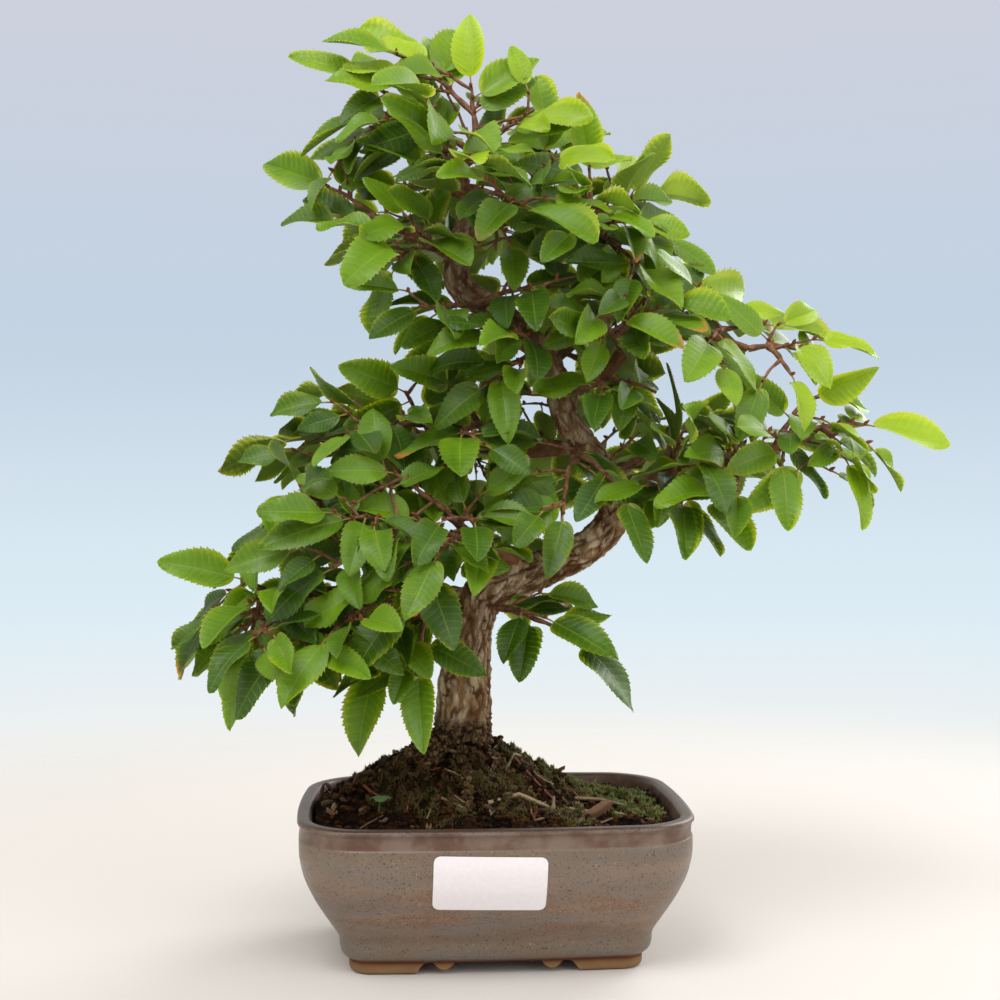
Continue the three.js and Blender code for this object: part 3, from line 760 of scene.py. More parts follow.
    def inner_twigs(self) -> None:
        """Grows the twigs in the middle of the crown, farther from the leaves of the solids."""
        self.reach = 2 * self.REACH
        for index, (limb, at, tip) in enumerate(self.INNER):
            foot = self.growth.wood[limb][0].at(at)
            end = planted(tip)
            shoot = Shoot(Bow(foot, (foot + end) / 2 + (0, 0, 2), end), limb, 0.95, 0.55, (index, INSIDE))
            points = shoot.path.at(np.linspace(0.25, 1, 6))
            if self.crosses(points, points[3], None):
                continue
            tried = [
                self.try_leaf(shoot, place, row == 0, 0.9 - 0.06 * row, 30, (index, INSIDE, row))
                for row, place in enumerate((1.0, 0.78, 0.56))
            ]
            if any(tried):
                self.growth.shoots.append(shoot)

    def grow(self) -> None:
        """Grows every kind of infill, from the outside of the crown inwards."""
        for step in (self.between, self.side_twigs, self.limb_twigs, self.inner_twigs):
            step()
            log.info("%d leaves of the infill after %s", self.count, step.__name__)


# Meshes


class Ground:
    """Turns places in the pot, in millimetres, into the row's metres."""

    def __init__(self) -> None:
        """Finds the pot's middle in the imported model."""
        low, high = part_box("pot")
        self.middle = np.array([(low.x + high.x) / 2, (low.y + high.y) / 2, 0])

    def metres(self, points: Array) -> Array:
        """Gives the row's places."""
        return np.asarray(points, float) * MM + self.middle


def mesh_piece(name: str, places: Array, triangles: Array) -> Piece:
    """Makes an object from metres and triangles.

    Args:
        name: The piece's name.
        places: Its corners, in the row's metres.
        triangles: Each face's three corners, anticlockwise from outside.

    Returns:
        The object, at the origin.
    """
    made = bpy.data.meshes.new(name)
    made.vertices.add(len(places))
    made.vertices.foreach_set("co", np.ascontiguousarray(places, np.float32).ravel())
    made.loops.add(triangles.size)
    made.loops.foreach_set("vertex_index", np.ascontiguousarray(triangles, np.int32).ravel())
    made.polygons.add(len(triangles))
    made.polygons.foreach_set("loop_start", np.arange(0, triangles.size, 3, dtype=np.int32))
    made.update(calc_edges=True)
    piece = bpy.data.objects.new(name, made)
    bpy.context.scene.collection.objects.link(piece)
    return piece


def mark(piece: Piece, name: str, values: Array, domain: str = "POINT") -> None:
    """Writes a number, or three numbers, for each corner or face of a piece, which its material reads."""
    values = np.asarray(values, np.float32)
    kind = ("FLOAT", "value") if values.ndim == 1 else ("FLOAT_VECTOR", "vector")
    layer = piece.data.attributes.new(name, kind[0], domain)
    layer.data.foreach_set(kind[1], values.ravel())


def map_corners(piece: Piece, name: str, across: Array) -> None:
    """Gives a piece a UV map from two numbers for each vertex."""
    corner = np.zeros(len(piece.data.loops), np.int32)
    piece.data.loops.foreach_get("vertex_index", corner)
    layer = piece.data.uv_layers.new(name=name)
    layer.uv.foreach_set("vector", np.asarray(across, np.float32)[corner].ravel())


def select_only(piece: Piece) -> None:
    """Makes a piece the one that operators act on."""
    bpy.ops.object.select_all(action="DESELECT")
    piece.select_set(True)
    bpy.context.view_layer.objects.active = piece


def smooth(piece: Piece, angle: float) -> None:
    """Shades a piece smooth, but for edges sharper than an angle in degrees."""
    select_only(piece)
    bpy.ops.object.shade_smooth_by_angle(angle=math.radians(angle))


def modify(piece: Piece, kind: str, **settings: object) -> None:
    """Adds a modifier to a piece and applies it."""
    select_only(piece)
    modifier = piece.modifiers.new(kind.title(), kind)
    for key, value in settings.items():
        setattr(modifier, key, value)
    bpy.ops.object.modifier_apply(modifier=modifier.name)


def primitive(name: str, add: Callable[..., object], **settings: object) -> Piece:
    """Adds a primitive with nothing else selected.

    Args:
        name: The object's name.
        add: The operator that adds it.
        settings: The operator's own settings.

    Returns:
        The object.
    """
    bpy.ops.object.select_all(action="DESELECT")
    add(**settings)
    made = bpy.context.active_object
    made.name = made.data.name = name
    return made


def face_outwards(piece: Piece) -> None:
    """Turns every face of a closed piece outwards."""
    select_only(piece)
    bpy.ops.object.mode_set(mode="EDIT")
    bpy.ops.mesh.select_all(action="SELECT")
    bpy.ops.mesh.normals_make_consistent(inside=False)
    bpy.ops.object.mode_set(mode="OBJECT")


def remove(piece: Piece) -> None:
    """Deletes a tool or a draft that is used up."""
    bpy.data.objects.remove(piece, do_unlink=True)


class Stack:
    """Gathers many small closed forms into one mesh."""

    def __init__(self) -> None:
        """Starts empty."""
        self.places: list[Array] = []
        self.triangles: list[Array] = []
        self.values: list[Array] = []
        self.count = 0

    def add(self, places: Array, triangles: Array, values: Array | tuple[float, ...] = (0, 0, 0)) -> None:
        """Adds one form, with three numbers for each of its corners, or for all of them."""
        self.places.append(places)
        self.triangles.append(triangles + self.count)
        self.values.append(np.broadcast_to(np.asarray(values, float), (len(places), 3)))
        self.count += len(places)

    def piece(self, name: str, ground: Ground, mark_name: str) -> Piece:
        """Makes the object."""
        places = ground.metres(np.concatenate(self.places))
        made = mesh_piece(name, places, np.concatenate(self.triangles))
        mark(made, mark_name, np.concatenate(self.values))
        return made


def ring_faces(rings: int, sides: int) -> Array:
    """Gives the triangles of a closed tube of rings, with a fan over each end."""
    i = np.arange(sides)
    j = (i + 1) % sides
    band = np.concatenate([np.stack([i, j, j + sides], 1), np.stack([i, j + sides, i + sides], 1)])
    walls = [band + sides * row for row in range(rings - 1)]
    last = (rings - 1) * sides
    first_fan = np.stack([np.zeros(sides - 2, int), i[2:], i[1:-1]], 1)
    last_fan = np.stack([np.full(sides - 2, last), last + i[1:-1], last + i[2:]], 1)
    return np.concatenate([*walls, first_fan, last_fan])


def carried_frames(points: Array) -> tuple[Array, Array, Array]:
    """Gives a line's directions, with two more across it that don't twist."""
    along = unit(np.gradient(points, axis=0))
    start = np.cross(along[0], (0, 0, 1) if abs(along[0][2]) < 0.9 else (1, 0, 0))
    across = [unit(start)]
    for way in along[1:]:
        moved = across[-1] - way * (across[-1] @ way)
        across.append(unit(moved))
    first = np.array(across)
    return along, first, np.cross(along, first)


def tube(points: Array, radii: Array, sides: int) -> tuple[Array, Array]:
    """Gives the corners and triangles of a tube along points."""
    _, first, second = (way[:, None, :] for way in carried_frames(points))
    angle = (np.arange(sides) * 2 * math.pi / sides)[None, :, None]
    spokes = np.cos(angle) * first + np.sin(angle) * second
    places = points[:, None, :] + spokes * np.broadcast_to(radii, (len(points),))[:, None, None]
    return places.reshape(-1, 3), ring_faces(len(points), sides)


class BladePattern:
    """A hornbeam leaf's blade, flat: pleated between straight veins, with a doubly toothed edge."""

    VEINS = 10
    SLANT = 0.2
    START = -0.25  # the blade's base, on the scale where veins leave the rib at 0 to 1
    THICK = 0.13
    PLEAT = 0.24
    RIB = 0.5

    def __init__(self) -> None:
        """Lays out the corners and the triangles."""
        self.rows: list[float] = []
        self.across: list[float] = []
        self.lifts: list[float] = []
        self.triangles: list[tuple[int, int, int]] = []
        self.under: list[float] = []
        base = self.corner(self.START, 0.0, 0.0)
        tip = self.corner(1.0, 0.0, 0.0)
        self.base, self.tip = base, tip
        left, right = (self.margin(way) for way in (-1, 1))
        upper = [self.column(v, 2, self.upper_lift) for v in (-0.7, -0.36, 0.0, 0.36, 0.7)]
        lower = [self.column(v, 1, self.lower_lift) for v in (-0.55, 0.0, 0.55)]
        for columns, under in (([left, *upper, right], False), ([left, *lower, right], True)):
            for one, other in zip(columns, columns[1:]):
                self.zip_up(one, other, under)
        rows = np.array(self.rows)
        self.v = np.array(self.across)
        self.t = np.clip(rows + self.SLANT * (1 - rows) * np.minimum(np.abs(self.v), 1), 0, 1)
        self.t[base] = 0
        self.row = rows
        self.lift = np.array(self.lifts)
        self.faces = np.array(self.triangles)
        self.shaded = np.array(self.under)

    def corner(self, row: float, v: float, lift: float) -> int:
        """Adds a corner and gives its number."""
        self.rows.append(row)
        self.across.append(v)
        self.lifts.append(lift)
        return len(self.rows) - 1

    def upper_lift(self, v: float, step: int) -> float:
        """Gives the upper face's height: veins and rib lie sunken, and the tissue swells between."""
        if v == 0:
            return self.THICK - 0.1
        swell = self.PLEAT if step % 2 else 0
        return self.THICK + swell * (1 if abs(v) < 0.5 else 0.7)

    def lower_lift(self, v: float, step: int) -> float:
        """Gives the lower face's height, where the rib stands out."""
        return -self.RIB if v == 0 else -self.THICK

    def column(self, v: float, fine: int, lift: Callable[[float, int], float]) -> list[tuple[float, int]]:
        """Adds a line of corners from the blade's base to its tip."""
        steps = self.VEINS * fine
        inner = [(k / steps, self.corner(k / steps, v, lift(v, k))) for k in range(steps)]
        if v == 0:
            inner = inner[1:]
        else:
            inner[0] = (self.START, inner[0][1])
        return [(self.START, self.base), *inner, (1.0, self.tip)]

    def margin(self, way: int) -> list[tuple[float, int]]:
        """Adds one toothed edge: each vein ends in a large tooth, with a small one before it."""
        line = [(self.START, self.base)]
        for row in (-0.234, -0.206, -0.163, -0.107, -0.057, -0.015):
            line.append((row, self.corner(row, way * 0.98, 0.0)))
        shape = ((0.16, -0.065), (0.5, 0.004), (0.6, -0.04), (1.0, 0.05))
        for vein in range(self.VEINS):
            for place, tooth in shape:
                row = (vein + place) / self.VEINS
                if row < 0.985:
                    size = 1 + tooth * (0.6 + 0.8 * math.sin(math.pi * row))
                    line.append((row, self.corner(row, way * size, 0.0)))
        return [*line, (1.0, self.tip)]

    def zip_up(self, one: list[tuple[float, int]], other: list[tuple[float, int]], under: bool) -> None:
        """Fills the strip between two lines of corners with triangles."""
        i = j = 0
        while i < len(one) - 1 or j < len(other) - 1:
            left_next = one[i + 1][0] if i < len(one) - 1 else math.inf
            right_next = other[j + 1][0] if j < len(other) - 1 else math.inf
            if left_next <= right_next:
                face = (one[i][1], other[j][1], one[i + 1][1])
                i += 1
            else:
                face = (one[i][1], other[j][1], other[j + 1][1])
                j += 1
            if len(set(face)) == 3:
                self.triangles.append(face[::-1] if under else face)
                self.under.append(float(under))

    def placed(self, leaf: Leaf) -> Array:
        """Bends the blade to a leaf's place, with its own fold, twist and wave."""
        a, b, c, d, e = (draw(*leaf.keys, key) for key in (11, 12, 13, 14, 15))
        t, v = self.t, self.v
        turn = leaf.bend * t
        across = v * (leaf.half * outline(t) * (0.88 + 0.22 * a))
        twist = 1.5 * (b - 0.5) * (t - 0.2)
        fold = 0.04 + 0.5 * c
        beats = (5 + 4 * b) * t + 6 * a + np.where(v > 0, 1.6, 0)
        wave = (0.6 + 1.9 * d) * np.sin(beats) * v * v * leaf.length / BLADE_LENGTH
        lift = self.lift + fold * np.abs(across) + wave + across * np.sin(twist)
        sickle = 4 * (e - 0.5) * t * t * leaf.length / BLADE_LENGTH
        across = across * np.cos(twist) * (1 - 0.12 * fold) + sickle
        normal = np.cos(turn)[:, None] * leaf.normal + np.sin(turn)[:, None] * leaf.along
        return leaf.rib(t) + across[:, None] * leaf.side + lift[:, None] * normal


# Shader building


class Inputs:
    """A node's inputs: each takes a value, or another node's socket, by its name or number."""

    def __init__(self, tree: bpy.types.NodeTree, node: bpy.types.Node) -> None:
        """Keeps the tree and the node."""
        self.tree, self.node = tree, node

    def __setitem__(self, key: str | int, value: object) -> None:
        """Sets a value on an input, or links a socket to it."""
        if isinstance(value, Socket):
            self.tree.links.new(value, self.node.inputs[key])
        else:
            self.node.inputs[key].default_value = value


class Shade:
    """Builds a material or a node group, one node at a time."""

    def __init__(self, tree: bpy.types.NodeTree) -> None:
        """Keeps the tree."""
        self.tree = tree

    def node(
        self, kind: str, inputs: dict[str | int, object] | None = None, **settings: object
    ) -> bpy.types.Node:
        """Adds a node.

        Args:
            kind: The node's type, without "ShaderNode".
            inputs: A value or another node's socket, for each input by its name or number.
            settings: The node's own properties.

        Returns:
            The node.
        """
        made = self.tree.nodes.new(kind if kind.startswith("NodeGroup") else f"ShaderNode{kind}")
        for key, value in settings.items():
            setattr(made, key, value)
        feed = Inputs(self.tree, made)
        for key, value in (inputs or {}).items():
            feed[key] = value
        return made

    def math(self, operation: str, *values: Number, clamp: bool = False) -> Socket:
        """Adds a sum and gives its result."""
        made = self.node("Math", dict(enumerate(values)), operation=operation, use_clamp=clamp)
        return made.outputs[0]

    def times(self, a: Number, b: Number, clamp: bool = False) -> Socket:
        """Multiplies two numbers."""
        return self.math("MULTIPLY", a, b, clamp=clamp)

    def plus(self, a: Number, b: Number, clamp: bool = False) -> Socket:
        """Adds two numbers."""
        return self.math("ADD", a, b, clamp=clamp)

    def rest(self, share: Socket) -> Socket:
        """Gives what a share leaves of 1."""
        return self.math("SUBTRACT", 1.0, share)

    def mix(self, share: Number, a: object, b: object, way: str = "MIX") -> Socket:
        """Mixes two colours and gives the result."""
        made = self.node("Mix", {0: share, 6: a, 7: b}, data_type="RGBA", blend_type=way)
        return made.outputs[2]

    def layers(self, base: object, *coats: tuple[Number, object]) -> Socket:
        """Lays colours over a base, each by its own share.

        Args:
            base: The first colour.
            coats: For each layer, its share from 0 to 1, and its colour.

        Returns:
            The colour that shows.
        """
        for share, coat in coats:
            base = self.mix(share, base, coat)
        return base

    def rise(self, value: Socket, low: Number, high: Number) -> Socket:
        """Rises smoothly from 0 at low to 1 at high."""
        made = self.node("MapRange", {0: value, 1: low, 2: high}, interpolation_type="SMOOTHSTEP")
        return made.outputs[0]

    def place(self, stretch: tuple[float, float, float] = (1, 1, 1)) -> Socket:
        """Gives the object's own coordinates, stretched."""
        here = self.node("TexCoord").outputs["Object"]
        return self.node("Mapping", {0: here, 3: stretch}).outputs[0]

    def noise(self, at: Socket, scale: Number, detail: float = 3.0, rough: float = 0.55) -> Socket:
        """Gives a cloudy pattern from 0 to 1."""
        inputs = {"Vector": at, "Scale": scale, "Detail": detail, "Roughness": rough}
        return self.node("TexNoise", inputs).outputs[0]

    def bump(self, height: Socket, strength: Number, depth: float) -> Socket:
        """Gives the surface's slope from a height."""
        return self.node("Bump", {"Strength": strength, "Distance": depth, "Height": height}).outputs[0]

    def split(self, vector: Socket) -> tuple[Socket, ...]:
        """Gives a vector's three numbers."""
        return tuple(self.node("SeparateXYZ", {0: vector}).outputs)

    def part(self, name: str) -> tuple[Socket, ...]:
        """Gives the three numbers that a piece's mesh carries under a name."""
        return self.split(self.node("Attribute", attribute_name=name).outputs["Vector"])

    def use(self, group: bpy.types.NodeTree, **inputs: object) -> bpy.types.Node:
        """Places a shared effect in this material."""
        made = self.tree.nodes.new("ShaderNodeGroup")
        made.node_tree = group
        feed = Inputs(self.tree, made)
        for key, value in inputs.items():
            feed[key] = value
        return made


def colour(red: float, green: float, blue: float) -> Colour:
    """Gives a colour in linear light from the 0 to 255 values that a screen shows."""
    return (*((max(value, 0) / 255) ** 2.2 for value in (red, green, blue)), 1.0)


def new_group(
    name: str, inputs: dict[str, float], outputs: list[str]
) -> tuple[Shade, dict[str, Socket], Inputs]:
    """Starts a shared effect whose inputs are numbers, and whose vector comes first.

    Args:
        name: The effect's name.
        inputs: Each number's name and usual value.
        outputs: The names of what it puts out, numbers or one Normal.

    Returns:
        The builder, the sockets of its inputs, and what it puts out.
    """
    tree = bpy.data.node_groups.new(name, "ShaderNodeTree")
    tree.interface.new_socket("Vector", in_out="INPUT", socket_type="NodeSocketVector")
    for key, value in inputs.items():
        tree.interface.new_socket(key, in_out="INPUT", socket_type="NodeSocketFloat").default_value = value
    for key in outputs:
        kind = "NodeSocketVector" if key == "Normal" else "NodeSocketFloat"
        tree.interface.new_socket(key, in_out="OUTPUT", socket_type=kind)
    shade = Shade(tree)
    entry = tree.nodes.new("NodeGroupInput")
    given = {socket.name: socket for socket in entry.outputs if socket.name}
    return shade, given, Inputs(tree, tree.nodes.new("NodeGroupOutput"))


def patches_group() -> bpy.types.NodeTree:
    """Makes the effect of soft-edged patches, which glaze, bark, soil, moss and leaves share."""
    shade, given, leave = new_group("patches", {"Scale": 50.0, "Low": 0.45, "High": 0.6}, ["Mask", "Cloud"])
    cloud = shade.noise(given["Vector"], given["Scale"], 4.0, 0.6)
    leave["Mask"] = shade.rise(cloud, given["Low"], given["High"])
    leave["Cloud"] = cloud
    return shade.tree


def grit_group() -> bpy.types.NodeTree:
    """Makes the effect of fine grit, which is a slope for the surface."""
    shade, given, leave = new_group("grit", {"Scale": 900.0, "Strength": 0.3}, ["Normal"])
    at, scale = given["Vector"], given["Scale"]
    fine = shade.noise(at, scale, 5.0, 0.5)
    cells = shade.node("TexVoronoi", {"Vector": at, "Scale": scale}).outputs["Distance"]
    height = shade.math("SUBTRACT", fine, shade.times(cells, 0.5))
    leave["Normal"] = shade.bump(height, given["Strength"], 0.0006)
    return shade.tree


class Effects:
    """The shared effects, built once."""

    def __init__(self) -> None:
        """Builds them."""
        self.patches = patches_group()
        self.grit = grit_group()

    def patched(
        self, shade: Shade, at: Socket, scale: float, low: float, high: float
    ) -> tuple[Socket, Socket]:
        """Places patches in a material, and gives their mask and the cloud that they are cut from."""
        made = shade.use(self.patches, Vector=at, Scale=scale, Low=low, High=high)
        return made.outputs[0], made.outputs[1]

    def gritty(self, shade: Shade, at: Socket, scale: float, strength: float) -> Socket:
        """Places grit in a material, and gives its slope."""
        return shade.use(self.grit, Vector=at, Scale=scale, Strength=strength).outputs[0]


def new_material(name: str) -> tuple[Shade, Inputs]:
    """Starts a material, and gives its builder and what its Principled shader takes in."""
    made = bpy.data.materials.new(name)
    made.use_nodes = True
    return Shade(made.node_tree), Inputs(made.node_tree, made.node_tree.nodes["Principled BSDF"])


def wear(piece: Piece, shade: Shade) -> None:
    """Gives a piece its material."""
    made = next(material for material in bpy.data.materials if material.node_tree == shade.tree)
    if piece.material_slots:
        for slot in piece.material_slots:
            slot.material = made
    else:
        piece.data.materials.append(made)


@dataclass(frozen=True)
class LeafFinish:
    """Fresh hornbeam leaves with light and shade painted in: yellow-green where lit, deeper green in the
    crown's shade, paler underneath.
    """

    # The first three greens are one leaf green in painted shade, in half light and in painted light.
    deep: Colour = colour(48, 78, 8)
    middle: Colour = colour(98, 134, 10)
    lit_green: Colour = colour(150, 178, 22)
    bluish: Colour = colour(74, 112, 44)
    pale: Colour = colour(138, 156, 66)
    vein: Colour = colour(160, 178, 62)
    # A painted rim highlight along the margin.
    edge: Colour = colour(176, 188, 66)
    dry: Colour = colour(176, 104, 44)

    def make(self, effects: Effects) -> Shade:
        """Builds the material."""
        shade, surface = new_material("hornbeam_leaf")
        tone, hue, worn = shade.part("leaf")
        across, row, _ = shade.split(shade.node("UVMap", uv_map="veins").outputs[0])
        out = shade.math("ABSOLUTE", across)
        rib = shade.rest(shade.rise(out, 0.0, 0.07))
        beat = shade.math("PINGPONG", shade.times(row, float(BladePattern.VEINS)), 0.5)
        side_vein = shade.rest(shade.rise(beat, 0.0, 0.1))
        side_vein = shade.times(side_vein, shade.rest(shade.rise(out, 0.7, 1.0)))
        veins = shade.math("MAXIMUM", rib, shade.times(side_vein, 0.55))
        here = shade.place()
        patch, cloud = effects.patched(shade, here, 70.0, 0.35, 0.7)
        # The leaf's tone is mostly painted light and shade, broken by soft patches; it picks among the
        # shaded, half-lit and lit greens.
        light = shade.plus(tone, shade.times(shade.math("SUBTRACT", cloud, 0.5), 0.5))
        tip = shade.rise(shade.plus(row, shade.times(out, 0.3)), 0.85, 1.2)
        below = shade.node("Attribute", attribute_name="under").outputs["Fac"]
        surface["Base Color"] = shade.layers(
            self.deep,
            (shade.rise(light, 0.0, 0.55), self.middle),
            (shade.rise(light, 0.5, 1.05), self.lit_green),
            (shade.times(hue, 0.22), self.bluish),
            # The margin turns paler on the brighter lit leaves: a painted rim highlight.
            (shade.times(shade.rise(out, 0.9, 1.02), shade.times(tone, 0.2)), self.edge),
            (shade.times(tip, shade.rise(worn, 0.95, 0.99), clamp=True), self.dry),
            (shade.times(veins, 0.28), self.vein),
            (shade.times(below, 0.42), self.pale),
        )
        rough = shade.plus(shade.times(below, 0.2), shade.times(patch, 0.1))
        surface["Roughness"] = shade.plus(rough, 0.4)
        relief = shade.plus(shade.noise(here, 900.0), shade.times(veins, -0.7))
        surface["Normal"] = shade.bump(shade.plus(relief, shade.times(beat, 0.8)), 0.25, 0.0004)
        surface["Subsurface Weight"] = 0.42
        surface["Subsurface Radius"] = (0.9, 1.0, 0.2)
        surface["Subsurface Scale"] = 0.0015
        surface["Specular IOR Level"] = 0.35
        return shade


@dataclass(frozen=True)
class TwigFinish:
    """Red-brown twigs that turn green towards their leaves."""

    bark: Colour = colour(142, 100, 70)
    shade_side: Colour = colour(92, 60, 42)
    young: Colour = colour(138, 128, 58)
    bud: Colour = colour(126, 66, 40)

    def make(self, effects: Effects) -> Shade:
        """Builds the material."""
        shade, surface = new_material("twig_bark")
        young, bud, _ = shade.part("twig")
        here = shade.place()
        patch, cloud = effects.patched(shade, here, 260.0, 0.4, 0.65)
        surface["Base Color"] = shade.layers(
            self.shade_side, (patch, self.bark), (young, self.young), (shade.times(bud, 0.8), self.bud)
        )
        surface["Normal"] = effects.gritty(shade, here, 1500.0, 0.5)
        surface["Roughness"] = shade.plus(0.6, shade.times(cloud, 0.3))
        return shade


@dataclass(frozen=True)
class BarkFinish:
    """Pale grey-beige plates over dark brown furrows, darker and rougher near the soil."""

    plate: Colour = colour(208, 188, 156)
    brown: Colour = colour(152, 122, 86)
    furrow: Colour = colour(84, 50, 26)
    limb: Colour = colour(128, 92, 64)
    foot: Colour = colour(46, 31, 16)
    # The foot's lighter grain is a painted highlight on its raised bumps, and its near-black gaps are painted
    # shade in the cracks between its lumps.
    foot_grain_highlight: Colour = colour(116, 92, 60)
    foot_gap: Colour = colour(26, 17, 9)

    def make(self, effects: Effects) -> Shade:
        """Builds the material."""
        shade, surface = new_material("hornbeam_bark")
        deep, girth, low = shade.part("bark")
        patch, _ = effects.patched(shade, shade.place((1, 1, 0.4)), 210.0, 0.4, 0.6)
        fine = shade.noise(shade.place((1, 1, 0.3)), 900.0, 5.0, 0.7)
        grain = shade.rise(fine, 0.4, 0.62)
        surface["Base Color"] = shade.layers(
            self.limb,
            (girth, shade.mix(patch, self.brown, self.plate)),
            (deep, self.furrow),
            (shade.times(shade.rise(fine, 0.5, 0.72), 0.6), self.furrow),
            # At the foot: a painted highlight on the raised grain, and painted shade in the cracks.
            (low, shade.layers(self.foot, (grain, self.foot_grain_highlight), (deep, self.foot_gap))),
        )
        surface["Roughness"] = shade.plus(0.72, shade.times(fine, 0.25))
        surface["Normal"] = shade.bump(fine, 0.8, 0.0008)
        surface["Specular IOR Level"] = 0.25
        return shade


@dataclass(frozen=True)
class GlazeFinish:
    """A satin stoneware glaze, warm grey with brown streaks and bluish clouds, over bare clay feet."""

    grey: Colour = colour(128, 109, 93)
    shade_grey: Colour = colour(108, 93, 78)
    brown: Colour = colour(116, 80, 52)
    blue: Colour = colour(103, 100, 97)
    speck: Colour = colour(54, 38, 28)
    fleck: Colour = colour(164, 158, 146)
    rim: Colour = colour(90, 64, 50)
    worn: Colour = colour(150, 136, 126)
    lip: Colour = colour(70, 56, 46)
    chip: Colour = colour(40, 30, 24)
    edge: Colour = colour(84, 50, 30)
    clay: Colour = colour(128, 80, 44)
    fired: Colour = colour(84, 50, 26)
    chalk: Colour = colour(150, 132, 92)
    scorch: Colour = colour(76, 40, 22)

    def make(self, effects: Effects) -> Shade:
        """Builds the material."""
        shade, surface = new_material("stoneware_glaze")
        here, wide = shade.place(), shade.place((1, 1, 4.5))
        height = shade.split(here)[2]
        drift = shade.noise(wide, 26.0, 4.0, 0.65)
        level = shade.plus(height, shade.times(shade.math("SUBTRACT", drift, 0.5), 0.03))
        grain = shade.noise(here, 900.0, 3.0, 0.7)
        streaks, _ = effects.patched(shade, wide, 42.0, 0.36, 0.66)
        clouds, _ = effects.patched(shade, wide, 17.0, 0.42, 0.62)
        worn, _ = effects.patched(shade, here, 60.0, 0.4, 0.66)
        belt = shade.times(shade.rise(height, 0.012, 0.026), shade.rest(shade.rise(height, 0.034, 0.056)))
        mottle = shade.times(streaks, shade.rise(grain, 0.36, 0.6))
        speck = shade.rise(shade.noise(here, 1100.0, 2.0), 0.58, 0.68)
        fleck = shade.rise(shade.noise(here, 800.0, 2.0), 0.68, 0.72)
        band = shade.rise(height, 0.0604, 0.0616)
        chipped = shade.times(shade.rise(grain, 0.5, 0.62), shade.rise(height, 0.0672, 0.0692))
        bare = shade.rest(shade.rise(height, 0.0056, 0.0064))
        clay = shade.mix(shade.noise(here, 220.0), self.clay, self.fired)
        clay = shade.mix(shade.rise(height, 0.0025, 0.0056), shade.mix(0.35, clay, self.chalk), clay)
        surface["Base Color"] = shade.layers(
            self.shade_grey,
            (shade.rise(level, 0.014, 0.03), self.grey),
            (shade.rise(level, 0.046, 0.062), self.shade_grey),
            (shade.times(mottle, belt), self.brown),
            (shade.times(clouds, 0.45), self.blue),
            (shade.times(speck, 0.75), self.speck),
            (shade.times(fleck, 0.4), self.fleck),
            (band, self.rim),
            (shade.times(shade.times(worn, band), 0.35), self.worn),
            (shade.rise(height, 0.0686, 0.0697), self.lip),
            (shade.times(chipped, 0.7), self.chip),
            (shade.rest(shade.rise(height, 0.0066, 0.0078)), self.edge),
            (bare, shade.mix(shade.rise(height, 0.0042, 0.006), clay, self.scorch)),
        )
        rough = shade.plus(0.3, shade.times(drift, 0.16))
        surface["Roughness"] = shade.plus(rough, shade.times(bare, 0.5), clamp=True)
        swell = shade.plus(shade.noise(here, 120.0, 2.0), shade.times(speck, 0.25))
        surface["Normal"] = shade.bump(swell, 0.25, 0.0008)
        return shade


@dataclass(frozen=True)
class SoilFinish:
    """Dark crumbs of moist soil."""

    dark: Colour = colour(12, 7, 3)
    brown: Colour = colour(42, 26, 13)
    grit: Colour = colour(78, 50, 27)
    mossy: Colour = colour(38, 38, 12)

    def make(self, effects: Effects) -> Shade:
        """Builds the material."""
        shade, surface = new_material("moist_soil")
        tone, mossy, _ = shade.part("crumb")
        here = shade.place()
        patch, _ = effects.patched(shade, here, 190.0, 0.42, 0.66)
        surface["Base Color"] = shade.layers(
            self.dark, (patch, self.brown), (tone, self.grit), (mossy, self.mossy)
        )
        surface["Normal"] = effects.gritty(shade, here, 700.0, 0.8)
        surface["Roughness"] = shade.plus(0.85, shade.times(tone, 0.1))
        surface["Specular IOR Level"] = 0.1
        return shade


@dataclass(frozen=True)
class MossFinish:
    """Moss from fresh green through olive to dead rust brown, with a painted highlight on its higher clumps
    and tufts.
    """

    green: Colour = colour(72, 90, 12)
    olive: Colour = colour(80, 68, 20)
    rust: Colour = colour(76, 46, 18)
    dull: Colour = colour(44, 34, 14)
    # A yellow painted highlight on the tops of the moss.
    light: Colour = colour(140, 138, 46)

    def make(self, effects: Effects) -> Shade:
        """Builds the material."""
        shade, surface = new_material("cushion_moss")
        kind, light, _ = shade.part("moss")
        patch, cloud = effects.patched(shade, shade.place(), 300.0, 0.3, 0.7)
        surface["Base Color"] = shade.layers(
            self.green,
            (shade.rise(kind, 0.0, 0.5), self.olive),
            (shade.rise(kind, 0.5, 1.0), self.rust),
            (shade.times(patch, 0.5), self.dull),
            (shade.times(light, 0.4), self.light),
        )
        surface["Roughness"] = shade.plus(0.7, shade.times(cloud, 0.2))
        return shade


@dataclass(frozen=True)
class StrawFinish:
    """Dead straws and twigs, pale or red-brown, and the green of a clover leaf."""

    brown: Colour = colour(54, 36, 22)
    pale: Colour = colour(146, 128, 98)
    red: Colour = colour(112, 54, 32)
    green: Colour = colour(66, 104, 50)
    fibre: Colour = colour(58, 42, 30)

    def make(self, effects: Effects) -> Shade:
        """Builds the material."""
        shade, surface = new_material("dead_straw")
        pale, red, green = shade.part("straw")
        fibre = shade.noise(shade.place(), 600.0, 4.0)
        surface["Base Color"] = shade.layers(
            self.brown,
            (pale, self.pale),
            (red, self.red),
            (green, self.green),
            (shade.times(shade.rise(fibre, 0.45, 0.7), 0.4), self.fibre),
        )
        surface["Roughness"] = shade.plus(0.6, shade.times(fibre, 0.25))
        surface["Normal"] = shade.bump(fibre, 0.5, 0.0004)
        return shade


